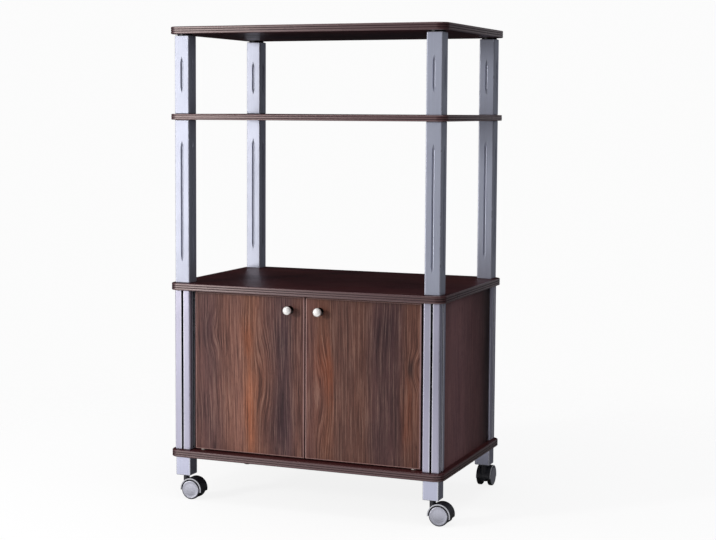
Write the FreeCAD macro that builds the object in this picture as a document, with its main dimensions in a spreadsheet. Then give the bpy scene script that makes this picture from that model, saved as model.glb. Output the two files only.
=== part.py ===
# A microwave stand: a two-door cabinet with two open bays over it, on four twin-wheel casters.
# Lengths are in millimetres, +Z is up and the doors face -Y. The origin is on the floor, in the
# middle of the stand's whole outline, trailing casters included.
import FreeCAD, Part
import math
import os
import Sketcher
from FreeCAD import Placement, Rotation, Vector

# ---------------------------------------------------------------- driving dimensions
DIMENSIONS = [
    ("middle_y", -7, "the boards' middle, ahead of the origin because a rear caster trails back"),
    # boards and their edging
    ("board_width", 600, "every board, edging included"),
    ("board_depth", 396, "every board, edging included"),
    ("board_corner", 20, "corner radius over the edging"),
    ("board_thickness", 15, "top board, cabinet top and cabinet base"),
    ("shelf_thickness", 12, "upper shelf"),
    ("edging_wall", 2.2, "visible band of the T-shaped edging"),
    ("edging_round", 1.8, "rounding of the band's two long arrises"),
    ("reed_spacing", 4.4, "between the two grooves that part the band into three reeds"),
    ("reed_groove_height", 0.8, "each of the two grooves"),
    ("reed_groove_depth", 0.5, "the same grooves"),
    ("barb_height", 2.4, "tongue of the edging that sits in the board's slot"),
    ("barb_depth", 6, "reach of that tongue into the board"),
    ("slot_clearance", 0.2, "slot in the board beyond the tongue, on each side"),
    # posts
    ("post_side", 33, "square section of plain posts and legs"),
    ("post_round", 2.2, "their long arrises"),
    ("cabinet_post_side", 35, "square section of the grooved cabinet posts"),
    ("cabinet_post_round", 3, "their long arrises"),
    ("post_end_round", 1.6, "arrises round the ends of all posts and legs"),
    ("post_inset", 10.5, "post face to board edge, on both sides of a corner"),
    ("cabinet_post_length", 335, "from the base to the cabinet top"),
    ("middle_post_length", 337, "from the cabinet top to the upper shelf"),
    ("top_post_length", 160, "from the upper shelf to the spacers"),
    ("spacer_height", 3, "disc between a top post and the top board"),
    ("spacer_radius", 16, "the same disc"),
    ("leg_height", 40, "block under the base"),
    ("flute_radius", 3.4, "cutter of the spindle-shaped flute in the plain posts"),
    ("flute_lift", 0.6, "cutter's axis outside the post's face"),
    ("flute_margin", 41, "plain length at each end of a fluted post"),
    ("flute_point", 14, "length of the flute's pointed ends"),
    ("groove_width", 4, "long grooves of the cabinet posts"),
    ("groove_depth", 8, "the same grooves"),
    ("groove_lip_round", 1.2, "rounded lips of the same grooves"),
    ("stud_radius", 3, "studs that join the posts through the boards"),
    ("stud_reach", 14, "length of a stud in each post"),
    ("stud_clearance", 0.25, "board hole beyond the stud"),
    ("top_stud_reach", 10, "length of the uppermost studs in the top board"),
    # cabinet panels
    ("side_panel_thickness", 15, "side panels"),
    ("tongue_thickness", 3.6, "tongue of a panel in a post's groove"),
    ("tongue_reach", 7, "the same tongue"),
    # doors
    ("door_thickness", 15, "both doors"),
    ("door_side_gap", 7, "door to post"),
    ("door_end_gap", 2.5, "door to the boards above and below"),
    ("door_meeting_gap", 2, "between the closed doors"),
    ("door_round", 3, "softened front arrises"),
    ("pivot_inset", 16, "door edge to pivot axis"),
    ("pin_radius", 2.95, "pivot pins"),
    ("pin_depth", 15, "pivot pin in the door"),
    ("pin_reach", 8, "pivot pin in its bush"),
    ("pin_end_play", 0.5, "bush's bore beyond the pin's end"),
    ("collar_radius", 5, "collar of a pivot pin, under or over the door"),
    ("collar_height", 1.4, "the same collar"),
    ("bush_radius", 4.5, "pivot bush"),
    ("bush_depth", 10, "pivot bush in its board"),
    ("bush_flange_radius", 5.8, "rim of the bush on the board's face"),
    ("bush_flange", 0.8, "thickness of that rim"),
    ("running_clearance", 0.06, "radial play of everything that turns on a pin"),
    ("knob_radius", 8.75, "head of a door knob"),
    ("knob_length", 19.5, "door face to the front of a knob"),
    ("knob_neck_radius", 4.5, "neck of a knob"),
    ("knob_foot_radius", 6, "foot of a knob on the door"),
    ("knob_taper", 3, "length of the cones at both ends of the neck"),
    ("knob_head", 6, "length of the head"),
    ("knob_round", 2.5, "rounding of the head's front rim"),
    ("knob_spacing", 66, "between the two knobs"),
    ("knob_drop", 30, "knob axis below the cabinet top"),
    ("knob_screw_radius", 2, "screw through the door into a knob"),
    ("knob_screw_reach", 12, "threaded hole in a knob"),
    ("screw_end_play", 1, "screw's tip to the end of that hole"),
    ("catch_width", 46, "double magnetic catch under the cabinet top"),
    ("catch_depth", 14, "the same catch"),
    ("catch_height", 13, "the same catch"),
    ("magnet_width", 12, "its two magnets"),
    ("magnet_proud", 2, "magnets in front of the catch's housing"),
    ("catch_gap", 0.3, "magnet to strike plate, door closed"),
    ("strike_width", 16, "steel strike plate on a door"),
    ("strike_height", 16, "the same plate"),
    ("strike_thickness", 1, "the same plate"),
    ("strike_drop", 1.5, "the same plate, below the door's top edge"),
    # casters
    ("caster_height", 50, "floor to the underside of a leg"),
    ("caster_trail", 17, "swivel axis to wheel axle"),
    ("wheel_radius", 20.5, "caster wheel"),
    ("wheel_width", 10, "each of a caster's two wheels"),
    ("wheel_gap", 14, "between a caster's two wheels"),
    ("tread_round", 1.5, "shoulders of a wheel's tread"),
    ("wheel_face_radius", 18, "raised disc on a wheel's outer face"),
    ("wheel_face_rise", 1.2, "the same disc"),
    ("wheel_face_round", 0.9, "rim of the same disc"),
    ("hood_radius", 24, "outside of the hood over the wheels"),
    ("hood_wall", 2.4, "the same hood"),
    ("hood_width", 32, "the same hood, along the axle"),
    ("hood_round", 0.8, "arrises of the hood's two rims"),
    ("hood_web", 12, "web of the hood between the wheels"),
    ("hood_front_drop", 2, "hood's front edge below the axle"),
    ("hood_rear_drop", 5, "hood's rear edge below the axle"),
    ("web_drop", 10, "web's lower edge below the axle"),
    ("boss_radius", 6.4, "upright boss of the hood, round the stem"),
    ("axle_radius", 2, "wheel axle"),
    ("axle_length", 30, "wheel axle"),
    ("axle_end_play", 0.2, "axle's end to the blind end of a wheel's bore"),
    ("stem_radius", 4, "steel stem that a caster swivels on"),
    ("stem_bottom", 29, "its lower end, above the floor"),
    ("stem_end_play", 1, "bore of the boss beyond that end"),
    ("boss_floor", 3, "boss below the stem's end"),
    ("socket_radius", 6, "sleeve in the leg that holds the stem"),
    ("socket_depth", 22, "the same sleeve"),
    ("socket_roof", 1, "closed top of the same sleeve"),
    ("socket_flange_radius", 7.5, "its rim under the leg"),
    ("socket_flange", 1.2, "thickness of that rim"),
    ("boss_gap", 0.4, "play between the socket's rim and the boss"),
]

doc = FreeCAD.newDocument("MicrowaveStand")
size = doc.addObject("Spreadsheet::Sheet", "Size")
for row, (name, value, meaning) in enumerate(DIMENSIONS, start=1):
    size.set(f"A{row}", name)
    size.set(f"B{row}", str(value))
    size.set(f"C{row}", meaning)
    size.setAlias(f"B{row}", name)
doc.recompute()

# Heights above the floor and places from the boards' middle, as expressions on the sheet.
LEG_TOP = "Size.caster_height + Size.leg_height"
BASE_TOP = f"{LEG_TOP} + Size.board_thickness"
CABINET_CEILING = f"{BASE_TOP} + Size.cabinet_post_length"
CABINET_TOP = f"{CABINET_CEILING} + Size.board_thickness"
SHELF_BOTTOM = f"{CABINET_TOP} + Size.middle_post_length"
SHELF_TOP = f"{SHELF_BOTTOM} + Size.shelf_thickness"
TOP_POST_END = f"{SHELF_TOP} + Size.top_post_length"
TOP_BOARD_BOTTOM = f"{TOP_POST_END} + Size.spacer_height"
POST_X = "(Size.board_width / 2 - Size.post_inset - Size.post_side / 2)"
POST_Y = "(Size.board_depth / 2 - Size.post_inset - Size.post_side / 2)"
DOOR_WIDTH = f"({POST_X} - Size.cabinet_post_side / 2 - Size.door_side_gap - Size.door_meeting_gap / 2)"
DOOR_HEIGHT = "(Size.cabinet_post_length - 2 * Size.door_end_gap)"
PIVOT_X = f"({POST_X} - Size.cabinet_post_side / 2 - Size.door_side_gap - Size.pivot_inset)"
DOOR_BOTTOM = f"{BASE_TOP} + Size.door_end_gap"
MAGNET_X = "(Size.catch_width / 2 - Size.strike_width / 2)"
BOARD_CORE_WIDTH = "(Size.board_width - 2 * Size.edging_wall)"
BOARD_CORE_DEPTH = "(Size.board_depth - 2 * Size.edging_wall)"
BOARD_CORE_CORNER = "(Size.board_corner - Size.edging_wall)"

CORNERS = {"front_left": (-1, -1), "front_right": (1, -1), "back_left": (-1, 1), "back_right": (1, 1)}
# The way each caster trails at rest, counted anticlockwise from +X.
TRAILS = {"front_left": 0, "front_right": 0, "back_left": 180, "back_right": 90}

NODES = []


# ---------------------------------------------------------------- helpers
def new_body(label, x="0", y="0", z="0", rotation=None):
    """A sub-part whose own origin stands at (x, y, z) from the middle of the boards, on the floor."""
    body = doc.addObject("PartDesign::Body", label)
    body.Label = label
    if rotation is not None:
        body.Placement = Placement(Vector(0, 0, 0), rotation)
    body.setExpression("Placement.Base.x", x)
    body.setExpression("Placement.Base.y", f"Size.middle_y + {y}")
    body.setExpression("Placement.Base.z", z)
    NODES.append(body)
    return body


def origin_feature(body, role):
    return next(item for item in body.Origin.OriginFeatures if item.Role == role)


def new_sketch(body, name, plane="XY_Plane", lift="0"):
    """A sketch on one of the body's own origin planes, lifted along the plane's normal."""
    sketch = body.newObject("Sketcher::SketchObject", name)
    sketch.AttachmentSupport = [(origin_feature(body, plane), "")]
    sketch.MapMode = "FlatFace"
    sketch.setExpression("AttachmentOffset.Base.z", lift)
    return sketch


def pin_point(sketch, geometry, point, x, y, start):
    """Holds a point of the sketch at (x, y), two expressions."""
    for kind, expression, guess in (("DistanceX", x, start.x), ("DistanceY", y, start.y)):
        index = sketch.addConstraint(Sketcher.Constraint(kind, -1, 1, geometry, point, guess))
        sketch.setExpression(f"Constraints[{index}]", expression)


def add_circle(sketch, radius, x="0", y="0"):
    circle = sketch.addGeometry(Part.Circle(Vector(1, 1, 0), Vector(0, 0, 1), 1), False)
    pin_point(sketch, circle, 3, x, y, Vector(1, 1, 0))
    index = sketch.addConstraint(Sketcher.Constraint("Radius", circle, 1))
    sketch.setExpression(f"Constraints[{index}]", radius)


def add_polygon(sketch, corners):
    """A closed outline with straight sides. Its corners are pairs of expressions."""
    count = len(corners)
    first = sketch.GeometryCount
    turns = [2 * math.pi * i / count for i in range(count)]
    starts = [Vector(math.cos(turn), math.sin(turn), 0) for turn in turns]
    for i in range(count):
        sketch.addGeometry(Part.LineSegment(starts[i], starts[(i + 1) % count]), False)
    for i, (x, y) in enumerate(corners):
        sketch.addConstraint(Sketcher.Constraint("Coincident", first + i, 2, first + (i + 1) % count, 1))
        pin_point(sketch, first + i, 1, x, y, starts[i])


def add_rectangle(sketch, left, bottom, right, top):
    add_polygon(sketch, [(left, bottom), (right, bottom), (right, top), (left, top)])


def add_rounded_rectangle(sketch, width, height, radius):
    """A rectangle centred on the sketch's origin, with a quarter circle at each corner."""
    first = sketch.GeometryCount
    quadrants = [(1, 1), (-1, 1), (-1, -1), (1, -1)]
    for i, (side_x, side_y) in enumerate(quadrants):
        centre = Vector(2 * side_x, 2 * side_y, 0)
        rim = Part.Circle(centre, Vector(0, 0, 1), 1)
        arc = sketch.addGeometry(Part.ArcOfCircle(rim, i * math.pi / 2, (i + 1) * math.pi / 2), False)
        x = f"{side_x} * ({width} / 2 - {radius})"
        y = f"{side_y} * ({height} / 2 - {radius})"
        pin_point(sketch, arc, 3, x, y, centre)
        index = sketch.addConstraint(Sketcher.Constraint("Radius", arc, 1))
        sketch.setExpression(f"Constraints[{index}]", radius)
        level, upright = ((1, 2), (2, 1))[i % 2]
        sketch.addConstraint(Sketcher.Constraint("Horizontal", arc, 3, arc, level))
        sketch.addConstraint(Sketcher.Constraint("Vertical", arc, 3, arc, upright))
    for i in range(4):
        after = first + (i + 1) % 4
        start = sketch.getPoint(first + i, 2)
        end = sketch.getPoint(after, 1)
        side = sketch.addGeometry(Part.LineSegment(start, end), False)
        sketch.addConstraint(Sketcher.Constraint("Coincident", first + i, 2, side, 1))
        sketch.addConstraint(Sketcher.Constraint("Coincident", side, 2, after, 1))


def pad(body, sketch, length, midplane=False, backwards=False):
    feature = body.newObject("PartDesign::Pad", f"{sketch.Name}_pad")
    feature.Profile = sketch
    feature.Midplane = midplane
    feature.Reversed = backwards
    feature.setExpression("Length", length)
    return feature


def pocket(body, sketch, length=None, midplane=False, backwards=False):
    """Cuts the sketch out of the body: through all of it where no length is given."""
    feature = body.newObject("PartDesign::Pocket", f"{sketch.Name}_pocket")
    feature.Profile = sketch
    feature.Midplane = midplane
    feature.Reversed = backwards
    if length is None:
        feature.Type = "ThroughAll"
    else:
        feature.setExpression("Length", length)
    return feature


def revolve(body, sketch, kind="Revolution"):
    """Turns the sketch about its own vertical axis: Revolution adds, Groove cuts."""
    feature = body.newObject(f"PartDesign::{kind}", f"{sketch.Name}_turned")
    feature.Profile = sketch
    feature.ReferenceAxis = (sketch, ["V_Axis"])
    feature.Angle = 360
    return feature


def around_post(body, feature):
    """Repeats a cut on all four faces of a post."""
    pattern = body.newObject("PartDesign::PolarPattern", f"{feature.Name}_on_four_faces")
    pattern.Originals = [feature]
    pattern.Axis = (origin_feature(body, "Z_Axis"), [""])
    pattern.Angle = 360
    pattern.Occurrences = 4
    body.Tip = pattern
    return pattern


def dress(body, kind, base, amount, test):
    """A Fillet or Chamfer of the base's edges that pass the test."""
    doc.recompute()
    names = [f"Edge{i}" for i, edge in enumerate(base.Shape.Edges, start=1) if test(edge)]
    feature = body.newObject(f"PartDesign::{kind}", f"{base.Name}_{kind.lower()}")
    feature.Base = (base, names)
    feature.setExpression("Radius" if kind == "Fillet" else "Size", amount)
    return feature


def at_corners(sketch, radius):
    """Four circles, one on each post's axis."""
    for side_x, side_y in CORNERS.values():
        add_circle(sketch, radius, f"{side_x} * {POST_X}", f"{side_y} * {POST_Y}")


# ---------------------------------------------------------------- boards
def make_board(label, thickness, z, bores="through", bushes=None):
    """A foil-covered board with a slot round its edge, stud holes and, where doors turn, bush holes."""
    board = new_body(label, z=z)
    outline = new_sketch(board, f"{label}_outline")
    add_rounded_rectangle(outline, BOARD_CORE_WIDTH, BOARD_CORE_DEPTH, BOARD_CORE_CORNER)
    pad(board, outline, thickness)

    slot = new_sketch(board, f"{label}_slot", lift=f"{thickness} / 2")
    add_rounded_rectangle(slot, "Size.board_width", "Size.board_depth", "Size.board_corner")
    inset = "(Size.barb_depth + Size.slot_clearance)"
    add_rounded_rectangle(slot, f"({BOARD_CORE_WIDTH} - 2 * {inset})",
                          f"({BOARD_CORE_DEPTH} - 2 * {inset})", f"({BOARD_CORE_CORNER} - {inset})")
    pocket(board, slot, "Size.barb_height + 2 * Size.slot_clearance", midplane=True)

    holes = new_sketch(board, f"{label}_stud_holes")
    if bores == "through":
        at_corners(holes, "Size.stud_radius + Size.stud_clearance")
        pocket(board, holes, backwards=True)
    else:
        at_corners(holes, "Size.stud_radius")
        pocket(board, holes, "Size.top_stud_reach", backwards=True)

    if bushes is not None:
        seats = new_sketch(board, f"{label}_bush_seats", lift=thickness if bushes == "top" else "0")
        for side in (-1, 1):
            add_circle(seats, "Size.bush_radius", f"{side} * {PIVOT_X}", f"-{POST_Y}")
        pocket(board, seats, "Size.bush_depth", backwards=bushes == "bottom")
    return board


def make_edging(label, thickness, z):
    """T-shaped edging: a band of three reeds round the board, with a tongue in the board's slot."""
    edging = new_body(label, z=z)
    band = new_sketch(edging, f"{label}_band")
    add_rounded_rectangle(band, "Size.board_width", "Size.board_depth", "Size.board_corner")
    add_rounded_rectangle(band, BOARD_CORE_WIDTH, BOARD_CORE_DEPTH, BOARD_CORE_CORNER)
    base = pad(edging, band, thickness)
    half_width = size.board_width / 2
    half_depth = size.board_depth / 2

    def outer_arris(edge):
        level = edge.BoundBox.ZLength < 0.01
        on_outline = all(abs(abs(v.X) - half_width) < 0.01 or abs(abs(v.Y) - half_depth) < 0.01
                         for v in edge.Vertexes)
        return level and on_outline

    dress(edging, "Fillet", base, "Size.edging_round", outer_arris)
    barb = new_sketch(edging, f"{label}_barb", lift=f"{thickness} / 2")
    bite = "(Size.edging_wall / 2)"
    add_rounded_rectangle(barb, f"(Size.board_width - 2 * {bite})", f"(Size.board_depth - 2 * {bite})",
                          f"(Size.board_corner - {bite})")
    add_rounded_rectangle(barb, f"({BOARD_CORE_WIDTH} - 2 * Size.barb_depth)",
                          f"({BOARD_CORE_DEPTH} - 2 * Size.barb_depth)",
                          f"({BOARD_CORE_CORNER} - Size.barb_depth)")
    pad(edging, barb, "Size.barb_height", midplane=True)
    for place, way in (("lower", "-"), ("upper", "+")):
        groove = new_sketch(edging, f"{label}_{place}_groove",
                            lift=f"{thickness} / 2 {way} Size.reed_spacing / 2")
        add_rounded_rectangle(groove, "(Size.board_width + 2)", "(Size.board_depth + 2)",
                              "(Size.board_corner + 1)")
        floor = "Size.reed_groove_depth"
        add_rounded_rectangle(groove, f"(Size.board_width - 2 * {floor})",
                              f"(Size.board_depth - 2 * {floor})", f"(Size.board_corner - {floor})")
        pocket(edging, groove, "Size.reed_groove_height", midplane=True)
    return edging


# ---------------------------------------------------------------- posts and legs
def make_post(label, corner, z, length, section="fluted"):
    """A square post on one corner: fluted, grooved for panels, or a plain leg block."""
    side_x, side_y = CORNERS[corner]
    post = new_body(label, f"{side_x} * {POST_X}", f"{side_y} * {POST_Y}", z)
    grooved = section == "grooved"
    side = "Size.cabinet_post_side" if grooved else "Size.post_side"
    outline = new_sketch(post, f"{label}_section")
    add_rounded_rectangle(outline, side, side, "Size.cabinet_post_round" if grooved else "Size.post_round")
    trunk = pad(post, outline, length)
    dress(post, "Fillet", trunk, "Size.post_end_round", lambda edge: edge.BoundBox.ZLength < 0.01)

    if section == "fluted":
        flute = new_sketch(post, f"{label}_flute", "XZ_Plane")
        flute.setExpression("AttachmentOffset.Base.x", "Size.post_side / 2 + Size.flute_lift")
        start, end = "Size.flute_margin", f"({length} - Size.flute_margin)"
        add_polygon(flute, [("0", start), ("0", end), ("-Size.flute_radius", f"{end} - Size.flute_point"),
                            ("-Size.flute_radius", f"{start} + Size.flute_point")])
        around_post(post, revolve(post, flute, "Groove"))
    elif grooved:
        groove = new_sketch(post, f"{label}_groove")
        add_rectangle(groove, f"{side} / 2 - Size.groove_depth", "-Size.groove_width / 2",
                      f"{side} / 2 + 1", "Size.groove_width / 2")
        cuts = around_post(post, pocket(post, groove, backwards=True))
        face, lip = size.cabinet_post_side / 2, size.groove_width / 2

        def mouth(edge):
            near, far = sorted((abs(edge.CenterOfMass.x), abs(edge.CenterOfMass.y)))
            return abs(near - lip) < 0.01 and abs(far - face) < 0.01

        dress(post, "Fillet", cuts, "Size.groove_lip_round", mouth)

    if section == "leg":
        socket = new_sketch(post, f"{label}_socket_bore")
        add_circle(socket, "Size.socket_radius")
        pocket(post, socket, "Size.socket_depth", backwards=True)
    else:
        lower = new_sketch(post, f"{label}_lower_bore")
        add_circle(lower, "Size.stud_radius")
        pocket(post, lower, "Size.stud_reach", backwards=True)
    upper = new_sketch(post, f"{label}_upper_bore", lift=length)
    add_circle(upper, "Size.stud_radius")
    pocket(post, upper, "Size.stud_reach")
    return post


# ---------------------------------------------------------------- small round pieces in groups
def make_studs():
    """Sixteen studs, four at each board: each joins the posts on both sides of its board."""
    studs = new_body("connecting_studs")
    levels = [(LEG_TOP, "Size.board_thickness + Size.stud_reach"),
              (CABINET_CEILING, "Size.board_thickness + Size.stud_reach"),
              (SHELF_BOTTOM, "Size.shelf_thickness + Size.stud_reach"),
              (TOP_POST_END, "Size.spacer_height + Size.top_stud_reach")]
    for i, (foot, rise) in enumerate(levels):
        row = new_sketch(studs, f"studs_{i}", lift=f"{foot} - Size.stud_reach")
        at_corners(row, "Size.stud_radius")
        pad(studs, row, f"{rise} + Size.stud_reach")


def make_spacers():
    """Discs that lift the top board clear of the top posts."""
    spacers = new_body("top_post_spacers", z=TOP_POST_END)
    rings = new_sketch(spacers, "spacer_rings")
    at_corners(rings, "Size.spacer_radius")
    at_corners(rings, "Size.stud_radius + Size.stud_clearance")
    pad(spacers, rings, "Size.spacer_height")


def make_caster_sockets():
    """Sleeves pressed into the legs, each with a rim under the leg."""
    sockets = new_body("caster_sockets", z="Size.caster_height")
    sleeves = new_sketch(sockets, "socket_sleeves")
    at_corners(sleeves, "Size.socket_radius")
    pad(sockets, sleeves, "Size.socket_depth")
    rims = new_sketch(sockets, "socket_rims")
    at_corners(rims, "Size.socket_flange_radius")
    pad(sockets, rims, "Size.socket_flange", backwards=True)
    bores = new_sketch(sockets, "socket_bores", lift="-Size.socket_flange")
    at_corners(bores, "Size.stem_radius")
    pocket(sockets, bores, "Size.socket_flange + Size.socket_depth - Size.socket_roof", backwards=True)


def make_caster_stems():
    """Steel stems, held by the sockets, that the casters swivel on."""
    stems = new_body("caster_stems", z="Size.stem_bottom")
    pins = new_sketch(stems, "stem_pins")
    at_corners(pins, "Size.stem_radius")
    pad(stems, pins, "Size.caster_height + Size.socket_depth - Size.socket_roof - Size.stem_bottom")


def make_pivot_bushes():
    """Flanged bushes of the door pivots: two in the base and two in the cabinet top."""
    bushes = new_body("pivot_bushes")
    for end, face, way in (("lower", BASE_TOP, True), ("upper", CABINET_CEILING, False)):
        def at_pivots(name, radius):
            rings = new_sketch(bushes, f"{end}_bush_{name}", lift=face)
            for side in (-1, 1):
                add_circle(rings, radius, f"{side} * {PIVOT_X}", f"-{POST_Y}")
            return rings
        pad(bushes, at_pivots("sleeve", "Size.bush_radius"), "Size.bush_depth", backwards=way)
        pad(bushes, at_pivots("rim", "Size.bush_flange_radius"), "Size.bush_flange", backwards=not way)
        bore = at_pivots("bore", "Size.pin_radius + Size.running_clearance")
        pocket(bushes, bore, "2 * (Size.pin_reach + Size.pin_end_play)", midplane=True)


# ---------------------------------------------------------------- cabinet panels
def make_side_panel(label, side):
    """A panel between two posts, thinned at its ends to tongues that sit in the posts' grooves."""
    panel = new_body(label, f"{side} * {POST_X}", z=BASE_TOP,
                     rotation=Rotation(Vector(0, 0, 1), 0 if side > 0 else 180))
    half_span = f"({POST_Y} - Size.cabinet_post_side / 2)"
    tongue_end = f"({half_span} + Size.tongue_reach)"
    inner = "-Size.tongue_thickness / 2"
    step = "Size.tongue_thickness / 2"
    outer = "Size.side_panel_thickness - Size.tongue_thickness / 2"
    section = new_sketch(panel, f"{label}_section")
    add_polygon(section, [(inner, f"-{tongue_end}"), (step, f"-{tongue_end}"), (step, f"-{half_span}"),
                          (outer, f"-{half_span}"), (outer, half_span), (step, half_span),
                          (step, tongue_end), (inner, tongue_end)])
    pad(panel, section, "Size.cabinet_post_length")


def make_back_panel():
    """A thin panel whose two edges sit in the back posts' grooves."""
    half_span = f"({POST_X} - Size.cabinet_post_side / 2 + Size.tongue_reach)"
    panel = doc.addObject("Part::Box", "back_panel")
    panel.setExpression("Length", f"2 * {half_span}")
    panel.setExpression("Width", "Size.tongue_thickness")
    panel.setExpression("Height", "Size.cabinet_post_length")
    panel.setExpression("Placement.Base.x", f"-{half_span}")
    panel.setExpression("Placement.Base.y", f"Size.middle_y + {POST_Y} - Size.tongue_thickness / 2")
    panel.setExpression("Placement.Base.z", BASE_TOP)
    NODES.append(panel)


# ---------------------------------------------------------------- doors
def make_door(name, side):
    """A door, its knob and screw, its pivot pins and its strike plate. side is -1 for the left one."""
    middle = f"({side} * (Size.door_meeting_gap / 2 + {DOOR_WIDTH} / 2))"
    pivot = f"({side} * ({DOOR_WIDTH} / 2 - Size.pivot_inset))"
    knob_x = f"({side} * Size.knob_spacing / 2)"
    knob_z = f"({CABINET_CEILING} - Size.knob_drop)"
    half = "Size.door_thickness / 2"

    door = new_body(f"{name}_door", middle, f"-{POST_Y}", DOOR_BOTTOM)
    face = new_sketch(door, f"{name}_door_face", "XZ_Plane")
    add_rectangle(face, f"-{DOOR_WIDTH} / 2", "0", f"{DOOR_WIDTH} / 2", DOOR_HEIGHT)
    slab = pad(door, face, "Size.door_thickness", midplane=True)
    front = -size.door_thickness / 2
    rounded = dress(door, "Fillet", slab, "Size.door_round",
                    lambda edge: all(abs(v.Y - front) < 0.01 for v in edge.Vertexes))
    sockets = new_sketch(door, f"{name}_door_lower_socket")
    add_circle(sockets, "Size.pin_radius", pivot)
    pocket(door, sockets, "Size.pin_depth", backwards=True)
    sockets = new_sketch(door, f"{name}_door_upper_socket", lift=DOOR_HEIGHT)
    add_circle(sockets, "Size.pin_radius", pivot)
    pocket(door, sockets, "Size.pin_depth")
    bore = new_sketch(door, f"{name}_door_knob_bore", "XZ_Plane")
    add_circle(bore, "Size.knob_screw_radius + Size.stud_clearance", f"{knob_x} - {middle}",
               f"{knob_z} - ({DOOR_BOTTOM})")
    pocket(door, bore, "2 * Size.door_thickness", midplane=True)

    pins = new_body(f"{name}_door_pins", f"{side} * {PIVOT_X}", f"-{POST_Y}", DOOR_BOTTOM)
    for end, foot, collar_foot in (
            ("lower", "-Size.door_end_gap - Size.pin_reach", "-Size.collar_height"),
            ("upper", f"{DOOR_HEIGHT} - Size.pin_depth", DOOR_HEIGHT)):
        pin = new_sketch(pins, f"{name}_{end}_pin", lift=foot)
        add_circle(pin, "Size.pin_radius")
        pad(pins, pin, "Size.pin_depth + Size.door_end_gap + Size.pin_reach")
        collar = new_sketch(pins, f"{name}_{end}_collar", lift=collar_foot)
        add_circle(collar, "Size.collar_radius")
        pad(pins, collar, "Size.collar_height")

    towards_front = Rotation(Vector(1, 0, 0), 90)
    knob = new_body(f"{name}_door_knob", knob_x, f"-{POST_Y} - {half}", knob_z, towards_front)
    profile = new_sketch(knob, f"{name}_knob_profile", "XZ_Plane")
    head_foot = "Size.knob_length - Size.knob_head"
    add_polygon(profile, [("0", "0"), ("Size.knob_foot_radius", "0"),
                          ("Size.knob_neck_radius", "Size.knob_taper"),
                          ("Size.knob_neck_radius", f"{head_foot} - Size.knob_taper"),
                          ("Size.knob_radius", head_foot), ("Size.knob_radius", "Size.knob_length"),
                          ("0", "Size.knob_length")])
    turned = revolve(knob, profile)
    tip = size.knob_length
    dress(knob, "Fillet", turned, "Size.knob_round",
          lambda edge: all(abs(-v.Y - tip) < 0.01 or abs(v.Z - tip) < 0.01 for v in edge.Vertexes))
    thread = new_sketch(knob, f"{name}_knob_thread")
    add_circle(thread, "Size.knob_screw_radius")
    pocket(knob, thread, "Size.knob_screw_reach", backwards=True)

    screw = new_body(f"{name}_knob_screw", knob_x, f"-{POST_Y} + {half}", knob_z, towards_front)
    shank = new_sketch(screw, f"{name}_screw_shank")
    add_circle(shank, "Size.knob_screw_radius")
    pad(screw, shank, "Size.door_thickness + Size.knob_screw_reach - Size.screw_end_play")
    head = new_sketch(screw, f"{name}_screw_head")
    add_circle(head, "2 * Size.knob_screw_radius")
    pad(screw, head, "Size.knob_screw_radius", backwards=True)

    strike_z = f"({CABINET_CEILING} - Size.door_end_gap - Size.strike_drop - Size.strike_height)"
    strike = new_body(f"{name}_strike_plate", f"{side} * {MAGNET_X}", f"-{POST_Y} + {half}", strike_z)
    plate = new_sketch(strike, f"{name}_strike_face", "XZ_Plane")
    add_rectangle(plate, "-Size.strike_width / 2", "0", "Size.strike_width / 2", "Size.strike_height")
    pad(strike, plate, "Size.strike_thickness", backwards=True)


def make_catch():
    """A double magnetic catch under the cabinet top, behind the doors' meeting edges."""
    front = f"-{POST_Y} + Size.door_thickness / 2 + Size.strike_thickness + Size.catch_gap"
    catch = new_body("magnetic_catch", "0", front, f"{CABINET_CEILING} - Size.catch_height")
    housing = new_sketch(catch, "catch_housing")
    add_rectangle(housing, "-Size.catch_width / 2", "Size.magnet_proud",
                  "Size.catch_width / 2", "Size.catch_depth")
    pad(catch, housing, "Size.catch_height")
    magnets = new_sketch(catch, "catch_magnets", lift="Size.magnet_proud")
    for side in (-1, 1):
        add_rectangle(magnets, f"{side} * {MAGNET_X} - Size.magnet_width / 2", "0",
                      f"{side} * {MAGNET_X} + Size.magnet_width / 2", "Size.magnet_proud")
    pad(catch, magnets, "Size.catch_height - 2 * Size.magnet_proud")


# ---------------------------------------------------------------- casters
def is_rim(edge, radius):
    return isinstance(edge.Curve, Part.Circle) and abs(edge.Curve.Radius - radius) < 0.01


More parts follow.
